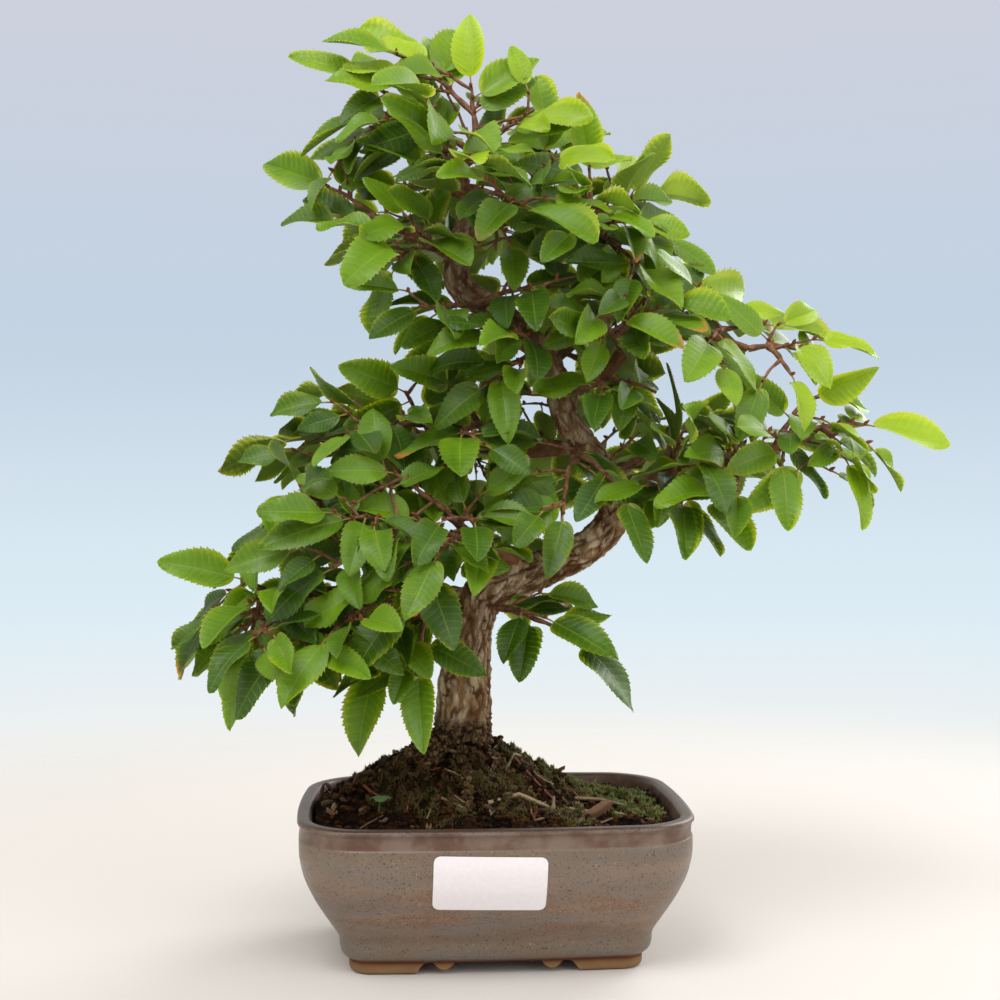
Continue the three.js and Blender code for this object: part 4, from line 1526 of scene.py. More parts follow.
@dataclass(frozen=True)
class PaperFinish:
    """White coated paper."""

    def make(self, effects: Effects) -> Shade:
        """Builds the material."""
        shade, surface = new_material("coated_paper")
        fibre = shade.noise(shade.place(), 500.0, 4.0)
        surface["Base Color"] = shade.mix(fibre, colour(226, 220, 224), colour(240, 236, 239))
        surface["Roughness"] = shade.plus(0.42, shade.times(fibre, 0.15))
        surface["Normal"] = shade.bump(fibre, 0.08, 0.0002)
        return shade


@dataclass(frozen=True)
class MeshFinish:
    """Dark moulded plastic of the drain screens."""

    def make(self, effects: Effects) -> Shade:
        """Builds the material."""
        shade, surface = new_material("moulded_plastic")
        here = shade.place()
        cloud = shade.noise(here, 350.0)
        surface["Base Color"] = shade.mix(cloud, colour(34, 38, 40), colour(52, 56, 58))
        surface["Roughness"] = shade.plus(0.45, shade.times(cloud, 0.2))
        surface["Normal"] = effects.gritty(shade, here, 2400.0, 0.15)
        return shade


# Sub-assemblies


def finished(piece: Piece, material: Shade, angle: float | None = None) -> None:
    """Dresses a piece, lets it move with the plant, and reports it.

    Args:
        piece: The piece.
        material: What it wears.
        angle: Shades it smooth but for edges sharper than this, in degrees. None leaves it flat.
    """
    if angle is not None:
        smooth(piece, angle)
    wear(piece, material)
    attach(piece, "root")
    log.info("%s: %d faces", piece.name, len(piece.data.polygons))


@dataclass
class Foliage:
    """All the leaves, one piece for each limb."""

    growth: Growth
    ground: Ground
    finish: LeafFinish = LeafFinish()

    def exposure(self) -> Array:
        """Tells how much light each leaf gets, from 0 to 1, by the leaves over and before it."""
        middles = self.growth.middles
        lit = np.zeros(len(middles))
        for index, middle in enumerate(middles):
            away = middles - middle
            flat = np.hypot(away[:, 0], away[:, 1])
            over = (away[:, 2] > 4) & (flat < 20 + 0.3 * away[:, 2])
            lit[index] = math.exp(-over.sum() / 7)
        return lit

    def build(self, effects: Effects, nodes: dict[str, Piece]) -> None:
        """Builds every limb's leaves and dresses them."""
        pattern = BladePattern()
        material = self.finish.make(effects)
        lit = self.exposure()
        uv = np.stack([pattern.v, pattern.row], 1)
        for limb in Limb:
            chosen = [i for i, leaf in enumerate(self.growth.leaves) if leaf.limb is limb]
            stack = Stack()
            for i in chosen:
                leaf = self.growth.leaves[i]
                a, b, c = (draw(*leaf.keys, key) for key in (21, 22, 23))
                # Painted light and shade: brighter in the open, towards the right and high up, darker under
                # other leaves; a leaf at a twig's tip is brighter for its younger green, and a draw spreads
                # the tones
                tone = 0.14 + 0.5 * lit[i] + 0.5 * (a - 0.5) + (0.14 if leaf.hand == 0 else 0)
                tone += 0.2 * ease(20, 150, leaf.foot[0]) + 0.04 * ease(300, 420, leaf.foot[2])
                stack.add(pattern.placed(leaf), pattern.faces, (min(max(tone, 0), 1), b, c))
            piece = stack.piece(f"leaves_{limb.value}", self.ground, "leaf")
            mark(piece, "under", np.tile(pattern.shaded, len(chosen)), "FACE")
            map_corners(piece, "veins", np.tile(uv, (len(chosen), 1)))
            finished(piece, material, 55)
            stems = (name for name in nodes if name.startswith("leafy_stem"))
            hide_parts(*(name for name in stems if name[len("leafy_stem_01_") :] == limb.value))


@dataclass
class Twigs:
    """The twigs with their buds and leaf stalks, one piece for each limb."""

    growth: Growth
    ground: Ground
    finish: TwigFinish = TwigFinish()

    def shoot(self, stack: Stack, shoot: Shoot) -> None:
        """Adds one twig, which is knotted where its leaves grow."""
        length = shoot.path.length()
        t = np.linspace(0, 1, max(4, math.ceil(length / 2.6)))
        knots = 0.16 * np.sin(t * length * 0.62 + 6 * draw(*shoot.keys, 31))
        radii = blend(shoot.foot, shoot.tip, t) * (1 + knots)
        points = shoot.path.at(t)
        sway = 0.35 * np.sin(t * length * 0.33 + 5 * draw(*shoot.keys, 32)) * np.sin(np.pi * t)
        points = points + sway[:, None] * directions(shoot.path, 0.5)[1]
        young = np.repeat(ease(0.75, 1.3, t) * 0.8, 6)
        stack.add(*tube(points, radii, 6), np.stack([young, young * 0, young * 0], 1))

    def stalk(self, stack: Stack, leaf: Leaf) -> None:
        """Adds a leaf's stalk, with the bud in its angle."""
        end = leaf.foot + leaf.along * (STALK + 0.6)
        middle = (leaf.foot + end) / 2 + leaf.normal * 0.5
        points = Bow(leaf.foot, middle, end).at(np.linspace(0, 1, 4))
        stack.add(*tube(points, np.array([0.6, 0.45, 0.4, 0.32]), 5), (0.85, 0, 0))
        tip = leaf.foot + unit(leaf.along * 0.5 + leaf.normal * 0.9) * (2.6 + 1.6 * draw(*leaf.keys, 33))
        points = Bow(leaf.foot, (leaf.foot + tip) / 2, tip).at(np.array([0, 0.35, 0.7, 1]))
        stack.add(*tube(points, np.array([0.6, 1.0, 0.7, 0.1]), 5), (0.1, 1, 0))

    def build(self, effects: Effects) -> None:
        """Builds every limb's twigs and dresses them."""
        material = self.finish.make(effects)
        for limb in Limb:
            stack = Stack()
            for shoot in self.growth.shoots:
                if shoot.limb is limb:
                    self.shoot(stack, shoot)
            for leaf in self.growth.leaves:
                if leaf.limb is limb:
                    self.stalk(stack, leaf)
            piece = stack.piece(f"twigs_{limb.value}", self.ground, "twig")
            finished(piece, material, 60)


@dataclass
class Wood:
    """The trunk and limbs as one grown surface with fluted, plated bark."""

    growth: Growth
    ground: Ground
    finish: BarkFinish = BarkFinish()
    voxel: float = 0.85
    # Where the surface roots end, the largest first
    root_ends: tuple[Spot, ...] = (
        (-58, -14), (-44, -30), (-12, -40), (16, -26), (24, 6), (-2, 34), (-42, 28),
    )  # fmt: skip

    def flute(self, z: Array, angle: Array) -> Array:
        """Scales the trunk's radius: long low ridges, and a spread foot."""
        low = 1 - ease(66, 100, z)
        ridges = 0.045 * np.sin(5 * angle + 0.02 * z) + 0.03 * np.sin(9 * angle - 0.03 * z + 1)
        return 1 + ridges + low * (0.1 + 0.1 * np.sin(4 * angle + 0.6))

    def tubes(self) -> tuple[Array, Array]:
        """Gives the corners and triangles of the trunk, the limbs and the surface roots, still apart."""
        stack = Stack()
        for limb, (path, radius) in self.growth.wood.items():
            steps = math.ceil(path.length() / 2)
            sides = 40 if limb is Limb.TRUNK else 16
            t = np.linspace(0, 1, steps)
            places, faces = tube(path.at(t), radius(t), sides)
            if limb is Limb.TRUNK:
                centre = np.repeat(path.at(t), sides, axis=0)
                angle = np.tile(np.arange(sides) * 2 * math.pi / sides, steps)
                places = centre + (places - centre) * self.flute(centre[:, 2], angle)[:, None]
            stack.add(places, faces)
        t = np.linspace(0, 1, 24)
        for index, (x, y) in enumerate(self.root_ends):
            foot = np.array([TREE_X, TREE_Y, 99.0])
            end = np.array([x, y, soil_height(x, y) - 2])
            middle = np.array([blend(TREE_X, x, 0.5), blend(TREE_Y, y, 0.5), 97.0 if index == 0 else 92.0])
            stack.add(*tube(Bow(foot, middle, end).at(t), blend(9 if index == 0 else 7, 1.8, t), 12))
        return np.concatenate(stack.places), np.concatenate(stack.triangles)

    def centre_lines(self, limbs: list[Limb]) -> tuple[kdtree.KDTree, Array, Array, Array, Array, Array]:
        """Gives a finder of the nearest middle line, and its points' places, frames, lengths and radii."""
        places, firsts, seconds, lengths, radii = [], [], [], [], []
        for path, radius in (self.growth.wood[limb] for limb in limbs):
            t = np.linspace(0, 1, math.ceil(path.length()))
            points = path.at(t)
            _, first, second = carried_frames(points)
            places.append(points)
            firsts.append(first)
            seconds.append(second)
            lengths.append(t * path.length())
            radii.append(np.broadcast_to(radius(t), t.shape))
        joined = [np.concatenate(part) for part in (places, firsts, seconds, lengths, radii)]
        return finder_of(joined[0]), *joined

    def bark(self, piece: Piece) -> None:
        """Raises the bark's plates and ridges, and marks where it is deep, thick and near the soil."""
        trunk = self.centre_lines([Limb.TRUNK])
        limbs = self.centre_lines(list(LIMBS))
        count = len(piece.data.vertices)
        places = np.zeros(count * 3, np.float32)
        normals = np.zeros(count * 3, np.float32)
        piece.data.vertices.foreach_get("co", places)
        piece.data.vertices.foreach_get("normal", normals)
        places = (places.reshape(-1, 3) - self.ground.middle) / MM
        normals = normals.reshape(-1, 3)
        marks = np.zeros((count, 3))
        for index in range(count):
            place = places[index]
            finder, centres, firsts, seconds, lengths, radii = trunk
            _, near, distance = finder.find(place)
            if distance > 1.3 * radii[near] and place[2] > 106:
                finder, centres, firsts, seconds, lengths, radii = limbs
                near = finder.find(place)[1]
            away = place - centres[near]
            radius = radii[near]
            girth = min(max((radius - 3.5) / 4, 0), 1)
            angle = math.atan2(away @ seconds[near], away @ firsts[near])
            s = lengths[near]
            angle += 0.012 * s + 0.5 * noise.noise(Vector((0, 4, s * 0.04)))
            x, y = math.cos(angle) * radius / 4, math.sin(angle) * radius / 4
            bent = 0.5 * noise.noise(Vector(place) * 0.21)
            cell = noise.voronoi(Vector((x + bent, y + bent, s / 12 + bent)))[0]
            crack = 1 - ease(0.04, 0.34, cell[1] - cell[0])
            long = abs(noise.noise(Vector((x * 0.8, y * 0.8, s / 16))))
            whole = ease(-0.35, 0.2, noise.noise(Vector((x * 0.7, y * 0.7, s / 11 + 9))))
            split = 0.85 * (1 - ease(0.03, 0.2, long)) * (1.1 - 0.6 * whole)
            furrow = max(crack * (0.25 + 0.75 * whole), split)
            fine = noise.fractal(Vector(place) * 0.35, 1.0, 2.0, 3)
            low = 1 - ease(102, 118, place[2] + 8 * noise.noise(Vector(place) * 0.12))
            low = low if radius > 9 else 0.0
            relief = (0.4 - furrow) * (0.35 + 0.65 * girth) * (0.35 + 0.07 * radius)
            spot = Vector((place[0] * 0.22, place[1] * 0.22, place[2] * 0.36))
            lumps = noise.voronoi(spot + 0.25 * Vector((fine, fine, fine)))[0]
            knob = min((lumps[1] - lumps[0]) * 2.2, 1)
            relief = relief * (1 - low) + (1.7 * knob - 0.7) * low
            relief += fine * (0.25 + 0.35 * girth + 0.7 * low)
            places[index] = place + normals[index] * relief
            # The cracks between the foot's lumps, which the material paints near black as shade.
            gap = 1 - ease(0.1, 0.45, knob)
            marks[index] = (blend(furrow * (0.5 + 0.5 * girth), gap, low), girth, low)
        piece.data.vertices.foreach_set("co", self.ground.metres(places).astype(np.float32).ravel())
        mark(piece, "bark", marks)
        piece.data.update()

    def build(self, effects: Effects) -> None:
        """Builds the piece and dresses it."""
        places, faces = self.tubes()
        piece = mesh_piece("hornbeam_wood", self.ground.metres(places), faces)
        modify(piece, "REMESH", mode="VOXEL", voxel_size=self.voxel * MM, adaptivity=0.0)
        modify(piece, "SMOOTH", factor=0.5, iterations=3)
        self.bark(piece)
        finished(piece, self.finish.make(effects), 80)
        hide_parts("trunk_and_limbs")


# The pot's rim: half its length and depth, and how far its sides bulge
HALF_LENGTH, HALF_DEPTH = 88, 63
BULGE = 4.5

# How far the pot's wall lies inside its rim at each height, up the outside and down the inside
WALL_OUTSIDE = [
    (20.5, 6.2), (18.2, 8.6), (17.4, 12), (17.4, 16), (12.2, 24.4), (7.2, 33), (3, 42.5), (0.9, 52),
    (0.7, 60.5), (1.5, 61.2), (1.4, 66.4), (0, 68), (0.4, 69.3), (1.7, 70),
]  # fmt: skip
WALL_INSIDE = [(4.9, 70), (6.2, 68), (7.6, 50), (14, 31), (23, 15)]


# How many points the pot's outline has round each corner, and along its long and short sides
CORNER, LONG_SIDE, SHORT_SIDE = 9, 20, 14


def pot_plan(inset: float, z: float) -> Array:
    """Gives the pot's outline at a distance inside its rim: a rounded rectangle whose sides bulge.

    Args:
        inset: How far inside the rim.
        z: The height that the points get.

    Returns:
        The points, anticlockwise from above.
    """
    a, b = HALF_LENGTH - inset, HALF_DEPTH - inset
    r = max(25 - 0.75 * inset, 8)
    quarters = [(a - r, b - r), (r - a, b - r), (r - a, r - b), (a - r, r - b)]
    points = []
    for q, (x, y) in enumerate(quarters):
        for share in np.linspace(0, 1, CORNER):
            angle = (q + share) * math.pi / 2
            points.append((x + r * math.cos(angle), y + r * math.sin(angle)))
        after = quarters[(q + 1) % 4]
        if q % 2:
            wall, steps = math.copysign(a, x), SHORT_SIDE
            start, end = (wall, y), (wall, after[1])
        else:
            wall, steps = math.copysign(b, y), LONG_SIDE
            start, end = (x, wall), (after[0], wall)
        for share in np.linspace(0, 1, steps + 2)[1:-1]:
            points.append((blend(start[0], end[0], share), blend(start[1], end[1], share)))
    flat = np.array(points)
    x, y = flat.T
    u, v = x / a, y / b
    bulge = BULGE * (1 - inset / 40)
    return np.stack([x + bulge * u * (1 - v * v), y + bulge * v * (1 - u * u), np.full(len(flat), z)], 1)


def rounded(profile: list[Spot], times: int) -> list[Spot]:
    """Cuts a profile's corners, so that it reads as thrown and not folded."""
    points = [np.array(point, float) for point in profile]
    for _ in range(times):
        cut = [points[0]]
        for a, b in zip(points, points[1:]):
            cut += [a * 0.8 + b * 0.2, a * 0.2 + b * 0.8]
        points = [*cut, points[-1]]
    return [tuple(point) for point in points]


def extruded(name: str, rings: list[Array], ground: Ground) -> Piece:
    """Models a closed body as by hand: a filled circle, extruded ring by ring, each set to its outline.

    Args:
        name: The object's name.
        rings: The outlines from the first face to the last, in millimetres.
        ground: Turns them into metres.

    Returns:
        The object.
    """
    rings = [ground.metres(ring) for ring in rings]
    add = bpy.ops.mesh.primitive_circle_add
    piece = primitive(name, add, vertices=len(rings[0]), radius=0.05, fill_type="NGON")
    for vertex, place in zip(piece.data.vertices, rings[0]):
        vertex.co = place
    bpy.ops.object.mode_set(mode="EDIT")
    bpy.ops.mesh.select_all(action="SELECT")
    before = rings[0]
    for ring in rings[1:]:
        bpy.ops.mesh.extrude_region_move(TRANSFORM_OT_translate={"value": (0, 0, 0)})
        bpy.ops.object.mode_set(mode="OBJECT")
        chosen = [vertex for vertex in piece.data.vertices if vertex.select]
        finder = finder_of(before)
        for vertex in chosen:
            vertex.co = ring[finder.find(vertex.co)[1]]
        before = ring
        bpy.ops.object.mode_set(mode="EDIT")
    bpy.ops.object.mode_set(mode="OBJECT")
    face_outwards(piece)
    return piece


@dataclass
class Pot:
    """The glazed pot with cut feet and two drains."""

    ground: Ground
    finish: GlazeFinish = GlazeFinish()
    foot_height: float = 6.2
    foot_inset: float = 21.5
    foot_width: float = 9
    drains: Spot = (-34, 34)
    drain_radius: float = 7.5

    def foot_gap(self, half: float, lobed: bool) -> list[Spot]:
        """Gives the outline of the gap between two cloud-shaped feet, with or without a lobe on each side."""
        top = self.foot_height - 0.8
        near = half - 28
        curve = [(near, -1.0), (near, 0.0)]
        for t in np.linspace(0.2, 1, 5):
            k = 1 - t
            x = near - (3 * k * k * t * 3 + 3 * k * t * t * 3 + t**3 * 7)
            curve.append((x, 3 * k * k * t * 1 + 3 * k * t * t * top + t**3 * top))
        if lobed:
            lobe = half - 41
            for t in np.linspace(0, 1, 7):
                k = 1 - t
                z = k * k * top + 2 * k * t * (4 - top) + t * t * top
                curve.append((lobe + 5 * (1 - 2 * t) - 1, z))
        return [*curve, *((-x, z) for x, z in reversed(curve))]

    def cutter(self, gap: list[Spot], reach: float, along_x: bool) -> Piece:
        """Makes a long bar of a gap's outline, along Y or along X."""
        rings = []
        for end in (-reach, reach):
            ring = [(end, x, z) if along_x else (x, end, z) for x, z in gap]
            rings.append(np.array(ring))
        return extruded("cutter", rings, self.ground)

    def cut(self, piece: Piece, tool: Piece, operation: str) -> None:
        """Cuts a tool out of the pot, or joins it on, and clears the tool away."""
        modify(piece, "BOOLEAN", operation=operation, object=tool, solver="EXACT")
        remove(tool)

    def build(self, effects: Effects) -> None:
        """Builds the pot and dresses it."""
        profile = rounded([*WALL_OUTSIDE, *WALL_INSIDE], 2)
        piece = extruded("glazed_pot", [pot_plan(inset, z) for inset, z in profile], self.ground)
        inset, top = self.foot_inset, self.foot_height + 1
        foot = [(inset + 2, 0), (inset + 0.5, 0.6), (inset, 1.8), (inset, top)]
        ring = extruded("foot_ring", [pot_plan(*point) for point in foot], self.ground)
        core = [pot_plan(inset + self.foot_width, -2), pot_plan(inset + self.foot_width, top + 2)]
        self.cut(ring, extruded("core", core, self.ground), "DIFFERENCE")
        self.cut(ring, self.cutter(self.foot_gap(HALF_LENGTH - inset, True), 90, False), "DIFFERENCE")
        self.cut(ring, self.cutter(self.foot_gap(HALF_DEPTH - inset, False), 110, True), "DIFFERENCE")
        self.cut(piece, ring, "UNION")
        for x in self.drains:
            at = self.ground.metres((x, 0, 12))
            size = dict(vertices=32, radius=self.drain_radius * MM, depth=0.03)
            tool = primitive("drain", bpy.ops.mesh.primitive_cylinder_add, location=at, **size)
            bpy.ops.object.transform_apply(location=True)
            self.cut(piece, tool, "DIFFERENCE")
        finished(piece, self.finish.make(effects), 38)
        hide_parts("pot")


@dataclass
class Label:
    """The blank stock label on the pot's front."""

    ground: Ground
    finish: PaperFinish = PaperFinish()
    length: float = 50
    height: float = 25
    corner: float = 3
    middle: Spot = (-5, 46)
    turn: float = -1.5

    def wall_front(self, x: float, z: float) -> float:
        """Gives the y of the pot's front wall."""
        insets, heights = zip(*rounded(WALL_OUTSIDE[2:9], 3))
        inset = float(np.interp(z, heights, insets))
        u = x / (HALF_LENGTH - inset)
        return -(HALF_DEPTH - inset) - BULGE * (1 - inset / 40) * (1 - u * u)

    def build(self, effects: Effects) -> None:
        """Builds the label from a plane with rounded corners, laid on the wall and thickened."""
        add = bpy.ops.mesh.primitive_grid_add
        piece = primitive("paper_label", add, x_subdivisions=40, y_subdivisions=20, size=1)
        a, b = self.length / 2, self.height / 2
        turn = math.radians(self.turn)
        for vertex in piece.data.vertices:
            x, z = vertex.co.x * self.length, vertex.co.y * self.height
            over_x, over_z = abs(x) - (a - self.corner), abs(z) - (b - self.corner)
            if over_x > 0 and over_z > 0:
                share = max(over_x, over_z) / math.hypot(over_x, over_z)
                x = math.copysign(a - self.corner + over_x * share, x)
                z = math.copysign(b - self.corner + over_z * share, z)
            px = self.middle[0] + x * math.cos(turn) - z * math.sin(turn)
            pz = self.middle[1] + x * math.sin(turn) + z * math.cos(turn)
            vertex.co = self.ground.metres((px, self.wall_front(px, pz) - 0.35, pz))
        modify(piece, "SOLIDIFY", thickness=0.25 * MM, offset=0.0)
        face_outwards(piece)
        finished(piece, self.finish.make(effects), 40)
        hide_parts("label")


TREE_X, TREE_Y = -16, -2  # where the trunk leaves the soil


def soil_height(x: Array | float, y: Array | float) -> Array | float:
    """Gives the height of the soil, which is heaped round the trunk."""
    u, v = (x - TREE_X) / 52, (y - TREE_Y) / 36
    lumps = 1.1 * np.sin(x * 0.21 + 1) * np.cos(y * 0.17) + 0.7 * np.sin(y * 0.31 + x * 0.11)
    return 64.5 + 36 * np.exp(-((u * u + v * v) ** 1.1)) + lumps


def crumbled(x: float, y: float) -> float:
    """Gives the height of the crumbs over the smooth soil."""
    at = Vector((x, y, 3.0))
    return 2.8 * noise.fractal(at * 0.09, 1.0, 2.0, 3) + 1.7 * noise.fractal(at * 0.35, 0.9, 2.0, 2) - 0.3


@dataclass
class SoilBed:
    """The soil in the pot, with its crumbs, moss, straws, roots and one clover leaf."""

    ground: Ground
    crumbs: int = 6500
    blades: int = 42000
    straws: int = 34
    chips: int = 110
    # Moss cushions: middle x and y, radius, and age from 0, fresh, to 1, dead
    moss: tuple[tuple[float, float, float, float], ...] = (
        (60, 8, 24, 0.1), (66, -20, 16, 0.15), (44, 32, 18, 0.2), (36, -6, 14, 0.45), (18, 28, 16, 0.3),
        (16, -6, 12, 0.5), (6, -34, 14, 0.7), (-58, 0, 17, 0.9), (-44, -28, 14, 0.85), (-24, -42, 12, 0.65),
        (-68, 24, 14, 0.6), (-40, 34, 16, 0.4), (-8, 42, 14, 0.5), (34, -40, 12, 0.6), (-12, -26, 9, 0.8),
    )  # fmt: skip

    def in_pot(self, x: float, y: float) -> bool:
        """Tells whether a place lies on the soil and not under the trunk."""
        inside = (abs(x) / 82) ** 4 + (abs(y) / 57) ** 4 < 0.93
        return inside and math.hypot(x - TREE_X, y - TREE_Y) > 15

    def top(self, x: float, y: float) -> float:
        """Gives the height of the finished soil."""
        return float(soil_height(x, y)) + crumbled(x, y)

    def bed(self, material: Shade) -> None:
        """Builds the soil itself."""
        rings = [pot_plan(inset + 0.5, z) for inset, z in ((23, 15.6), (14, 31), (7.6, 50))]
        middle = np.array([TREE_X, TREE_Y, 0])
        shares = (0.84, 0.78, 0.72, 0.66, 0.6, 0.54, 0.48, 0.42, 0.36, 0.3, 0.24, 0.18, 0.12, 0.06)
        for share in (1, 0.95, 0.9, *shares):
            ring = middle + (pot_plan(7.7, 0) - middle) * share
            ring[:, 2] = soil_height(ring[:, 0], ring[:, 1])
            rings.append(ring)
        piece = extruded("soil_bed", rings, self.ground)
        modify(piece, "SUBSURF", levels=2, subdivision_type="SIMPLE")
        marks = np.zeros((len(piece.data.vertices), 3))
        for vertex in piece.data.vertices:
            x, y, z = (np.array(vertex.co) - self.ground.middle) / MM
            if z > 60:
                vertex.co = self.ground.metres((x, y, self.top(x, y)))
            under = (1 - math.hypot(x - x0, y - y0) / radius for x0, y0, radius, _ in self.moss)
            marks[vertex.index, 1] = 0.8 * ease(0, 0.4, max(under))
        piece.data.update()
        mark(piece, "crumb", marks)
        finished(piece, material, 60)
        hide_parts("soil")

    def loose_crumbs(self, material: Shade) -> None:
        """Scatters crumbs of soil and grit, all copied from one rounded stone."""
        stone = primitive("stone", bpy.ops.mesh.primitive_ico_sphere_add, subdivisions=1, radius=1)
        corners = np.array([vertex.co for vertex in stone.data.vertices])
        faces = np.array([polygon.vertices for polygon in stone.data.polygons])
        remove(stone)
        stack = Stack()
        for index in range(self.crumbs):
            a, b, c, d, e = (draw(CRUMB, index, key) for key in range(5))
            x, y = 170 * (a - 0.5), 118 * (b - 0.5)
            if not self.in_pot(x, y):
                continue
            size = 0.6 + 1.2 * c**2
            jag = np.array([[0.75 + 0.5 * draw(JAG, index, corner)] for corner in range(len(corners))])
            shape = corners * jag * (size, size * (0.6 + 0.5 * d), size * 0.7)
            spun = np.stack([*turned(shape, -6.28 * e), shape[:, 2]], 1)
            tone = 0.9 * d if c > 0.8 else 0.25 * d
            stack.add(spun + (x, y, self.top(x, y) + size * 0.2), faces, (tone, 0, 0))
        finished(stack.piece("soil_crumbs", self.ground, "crumb"), material, 30)

    def moss_blades(self, material: Shade) -> None:
        """Grows the moss as thousands of small pointed leaves, in cushions."""
        stack = Stack()
        areas = np.array([radius**2 for _, _, radius, _ in self.moss])
        limits = np.cumsum(areas) / areas.sum()
        spokes = np.array([(math.cos(a), math.sin(a), 0) for a in (0, 2.09, 4.19)])
        faces = np.array([(0, 1, 3), (1, 2, 3), (2, 0, 3), (0, 2, 1)])
        for index in range(self.blades):
            a, b, c, d, e, f = (draw(MOSS, index, key) for key in range(6))
            x0, y0, radius, age = self.moss[int(np.searchsorted(limits, a))]
            away = math.sqrt(b) * radius * (0.75 + 0.5 * draw(CUSHION, int(c * 24)))
            x, y = x0 + away * math.cos(6.283 * c), y0 + away * math.sin(6.283 * c)
            if not self.in_pot(x, y):
                continue
            clump = noise.noise(Vector((x, y, 0)) * 0.22)
            if clump < -0.12:
                continue
            tuft = noise.noise(Vector((x, y, 6)) * 0.5)
            dome = max(0, 1 - (away / radius) ** 2) * 1.2 + 3.6 * max(clump, 0) + 1.8 * max(tuft, 0)
            height = (0.9 + 1.6 * d) * (1 - 0.3 * age)
            lean = np.array([(e - 0.5) * 2.4, (f - 0.5) * 2.4, height])
            foot = np.array([x, y, self.top(x, y) + dome - 0.6])
            corners = np.vstack([foot + spokes * (0.3 + 0.2 * f), foot + lean])
            # Painted highlight: blades on the higher clumps and tufts are lighter, dead ones less so.
            light = f * (1 - 0.6 * age) * (0.1 + 1.4 * max(clump, 0) + 1.2 * max(tuft, 0))
            kind = age + 0.4 * (e - 0.5) + 0.5 * noise.noise(Vector((x, y, 30)) * 0.12)
            stack.add(corners, faces, (min(max(kind, 0), 1), min(light, 1), 0))
        finished(stack.piece("moss_cushions", self.ground, "moss"), material)

    def litter(self, material: Shade) -> None:
        """Lays the dead straws and twigs, the looped roots and a clover leaf on the soil."""
        stack = Stack()
        # Each one's x and y, length, direction, paleness, redness and radius
        laid = [
            (10, -36, 29, 0.12, 0.9, 0.0, 1.15), (18, -24, 22, -0.7, 0.1, 0.9, 0.5),
            (42, -30, 20, 0.5, 0.8, 0.1, 0.9), (26, -34, 12, 1.4, 0.5, 0.3, 1.0),
            (50, -18, 26, 0.2, 0.7, 0.1, 0.8), (62, -30, 14, -0.3, 0.8, 0.1, 0.6),
            (-20, -40, 12, -0.4, 0.6, 0.2, 0.7), (56, 4, 18, 0.9, 0.3, 0.6, 0.5),
        ]  # fmt: skip
        for index in range(self.straws):
            a, b, c, d, e, f = (draw(STRAW, index, key) for key in range(6))
            x, y, red = 160 * (a - 0.5), 108 * (b - 0.5), f if f > 0.6 else 0.0
            laid.append((x, y, 5 + 13 * c, 6.28 * d, 0.9 * e, red, 0.3 + 0.6 * c * e))
        for number, (x, y, length, way, pale, red, radius) in enumerate(laid):
            steps = np.linspace(-0.5, 0.5, 7)
            crook = 0.05 * length * np.abs(steps + 0.4 * math.sin(number)) * (1 if number % 2 else -1)
            xs = x + steps * length * math.cos(way) - crook * math.sin(way)
            ys = y + steps * length * math.sin(way) + crook * math.cos(way)
            if not all(self.in_pot(px, py) for px, py in zip(xs, ys)):
                continue
            ends = [self.top(xs[k], ys[k]) + 0.8 * radius for k in (0, 3, 6)]
            middle = max(ends[1], sum(ends[::2]) / 2 - 1)
            zs = np.interp(steps, (-0.5, 0, 0.5), (ends[0], middle, ends[2])) + 1.2
            girth = radius * (1 - 0.25 * (steps + 0.5) + 0.12 * np.sin(9 * steps + number))
            stack.add(*tube(np.stack([xs, ys, zs], 1), girth, 6), (pale, red, 0))
        for x, y, length, rise in ((-61, -14, 12, 8), (-79, -8, 7, 9)):
            steps = np.linspace(-1, 1, 12)
            xs = x + steps * length / 2
            ys = y + 3 * steps**2
            zs = [self.top(px, py) - 1 + rise * (1 - s * s) for px, py, s in zip(xs, ys, steps)]
            stack.add(*tube(np.stack([xs, ys, zs], 1), 0.8 + 0.25 * np.sin(steps * 7), 6), (0, 0.15, 0))
        self.flakes(stack)
        self.clover(stack, -54.0, -38.0)
        finished(stack.piece("straws_and_roots", self.ground, "straw"), material, 50)

    def flakes(self, stack: Stack) -> None:
        """Scatters curled chips of bark and dead leaf, and lays two larger ones in front."""
        # Each one's x and y, length, width, direction, paleness and redness
        laid = [(46.0, -33.0, 15.0, 7.0, 0.35, 0.55, 0.45), (16.0, -44.0, 9.0, 3.0, 1.5, 0.3, 0.9)]
        for index in range(self.chips):
            a, b, c, d, e, f, g = (draw(FLAKE, index, key) for key in range(7))
            x, y = 160 * (a - 0.5), 108 * (b - 0.5)
            laid.append((x, y, 3 + 4 * c * c, 1.2 + 2 * d, 6.28 * e, 0.8 * f, 0.5 * g))
        u, v = np.repeat(np.linspace(-1, 1, 6), 4), np.tile(np.linspace(-1, 1, 4), 6)
        cells = [i * 4 + j for i in range(5) for j in range(3)]
        upper = np.array([side for a in cells for side in ((a, a + 4, a + 5), (a, a + 5, a + 1))])
        loop = [*range(0, 21, 4), 21, 22, *range(23, 2, -4), 2, 1]
        rim = [side for a, b in zip(loop, [*loop[1:], 0]) for side in ((a, a + 24, b + 24), (a, b + 24, b))]
        faces = np.concatenate([upper, upper[:, ::-1] + 24, np.array(rim)])
        for number, (x, y, length, width, way, pale, red) in enumerate(laid):
            if not self.in_pot(x, y):
                continue
            curl = 0.25 + 0.5 * draw(CURL, number)
            along = u * length / 2
            across = v * width / 2 * (1 - 0.5 * u * u)
            lift = curl * width * (v * v + 0.5 * np.sin(2 * u + number)) + 0.1 * length * u * u
            px, py = turned(np.stack([along, across], 1), way)
            sheet = np.stack([x + px, y + py, self.top(x, y) + 0.8 + lift], 1)
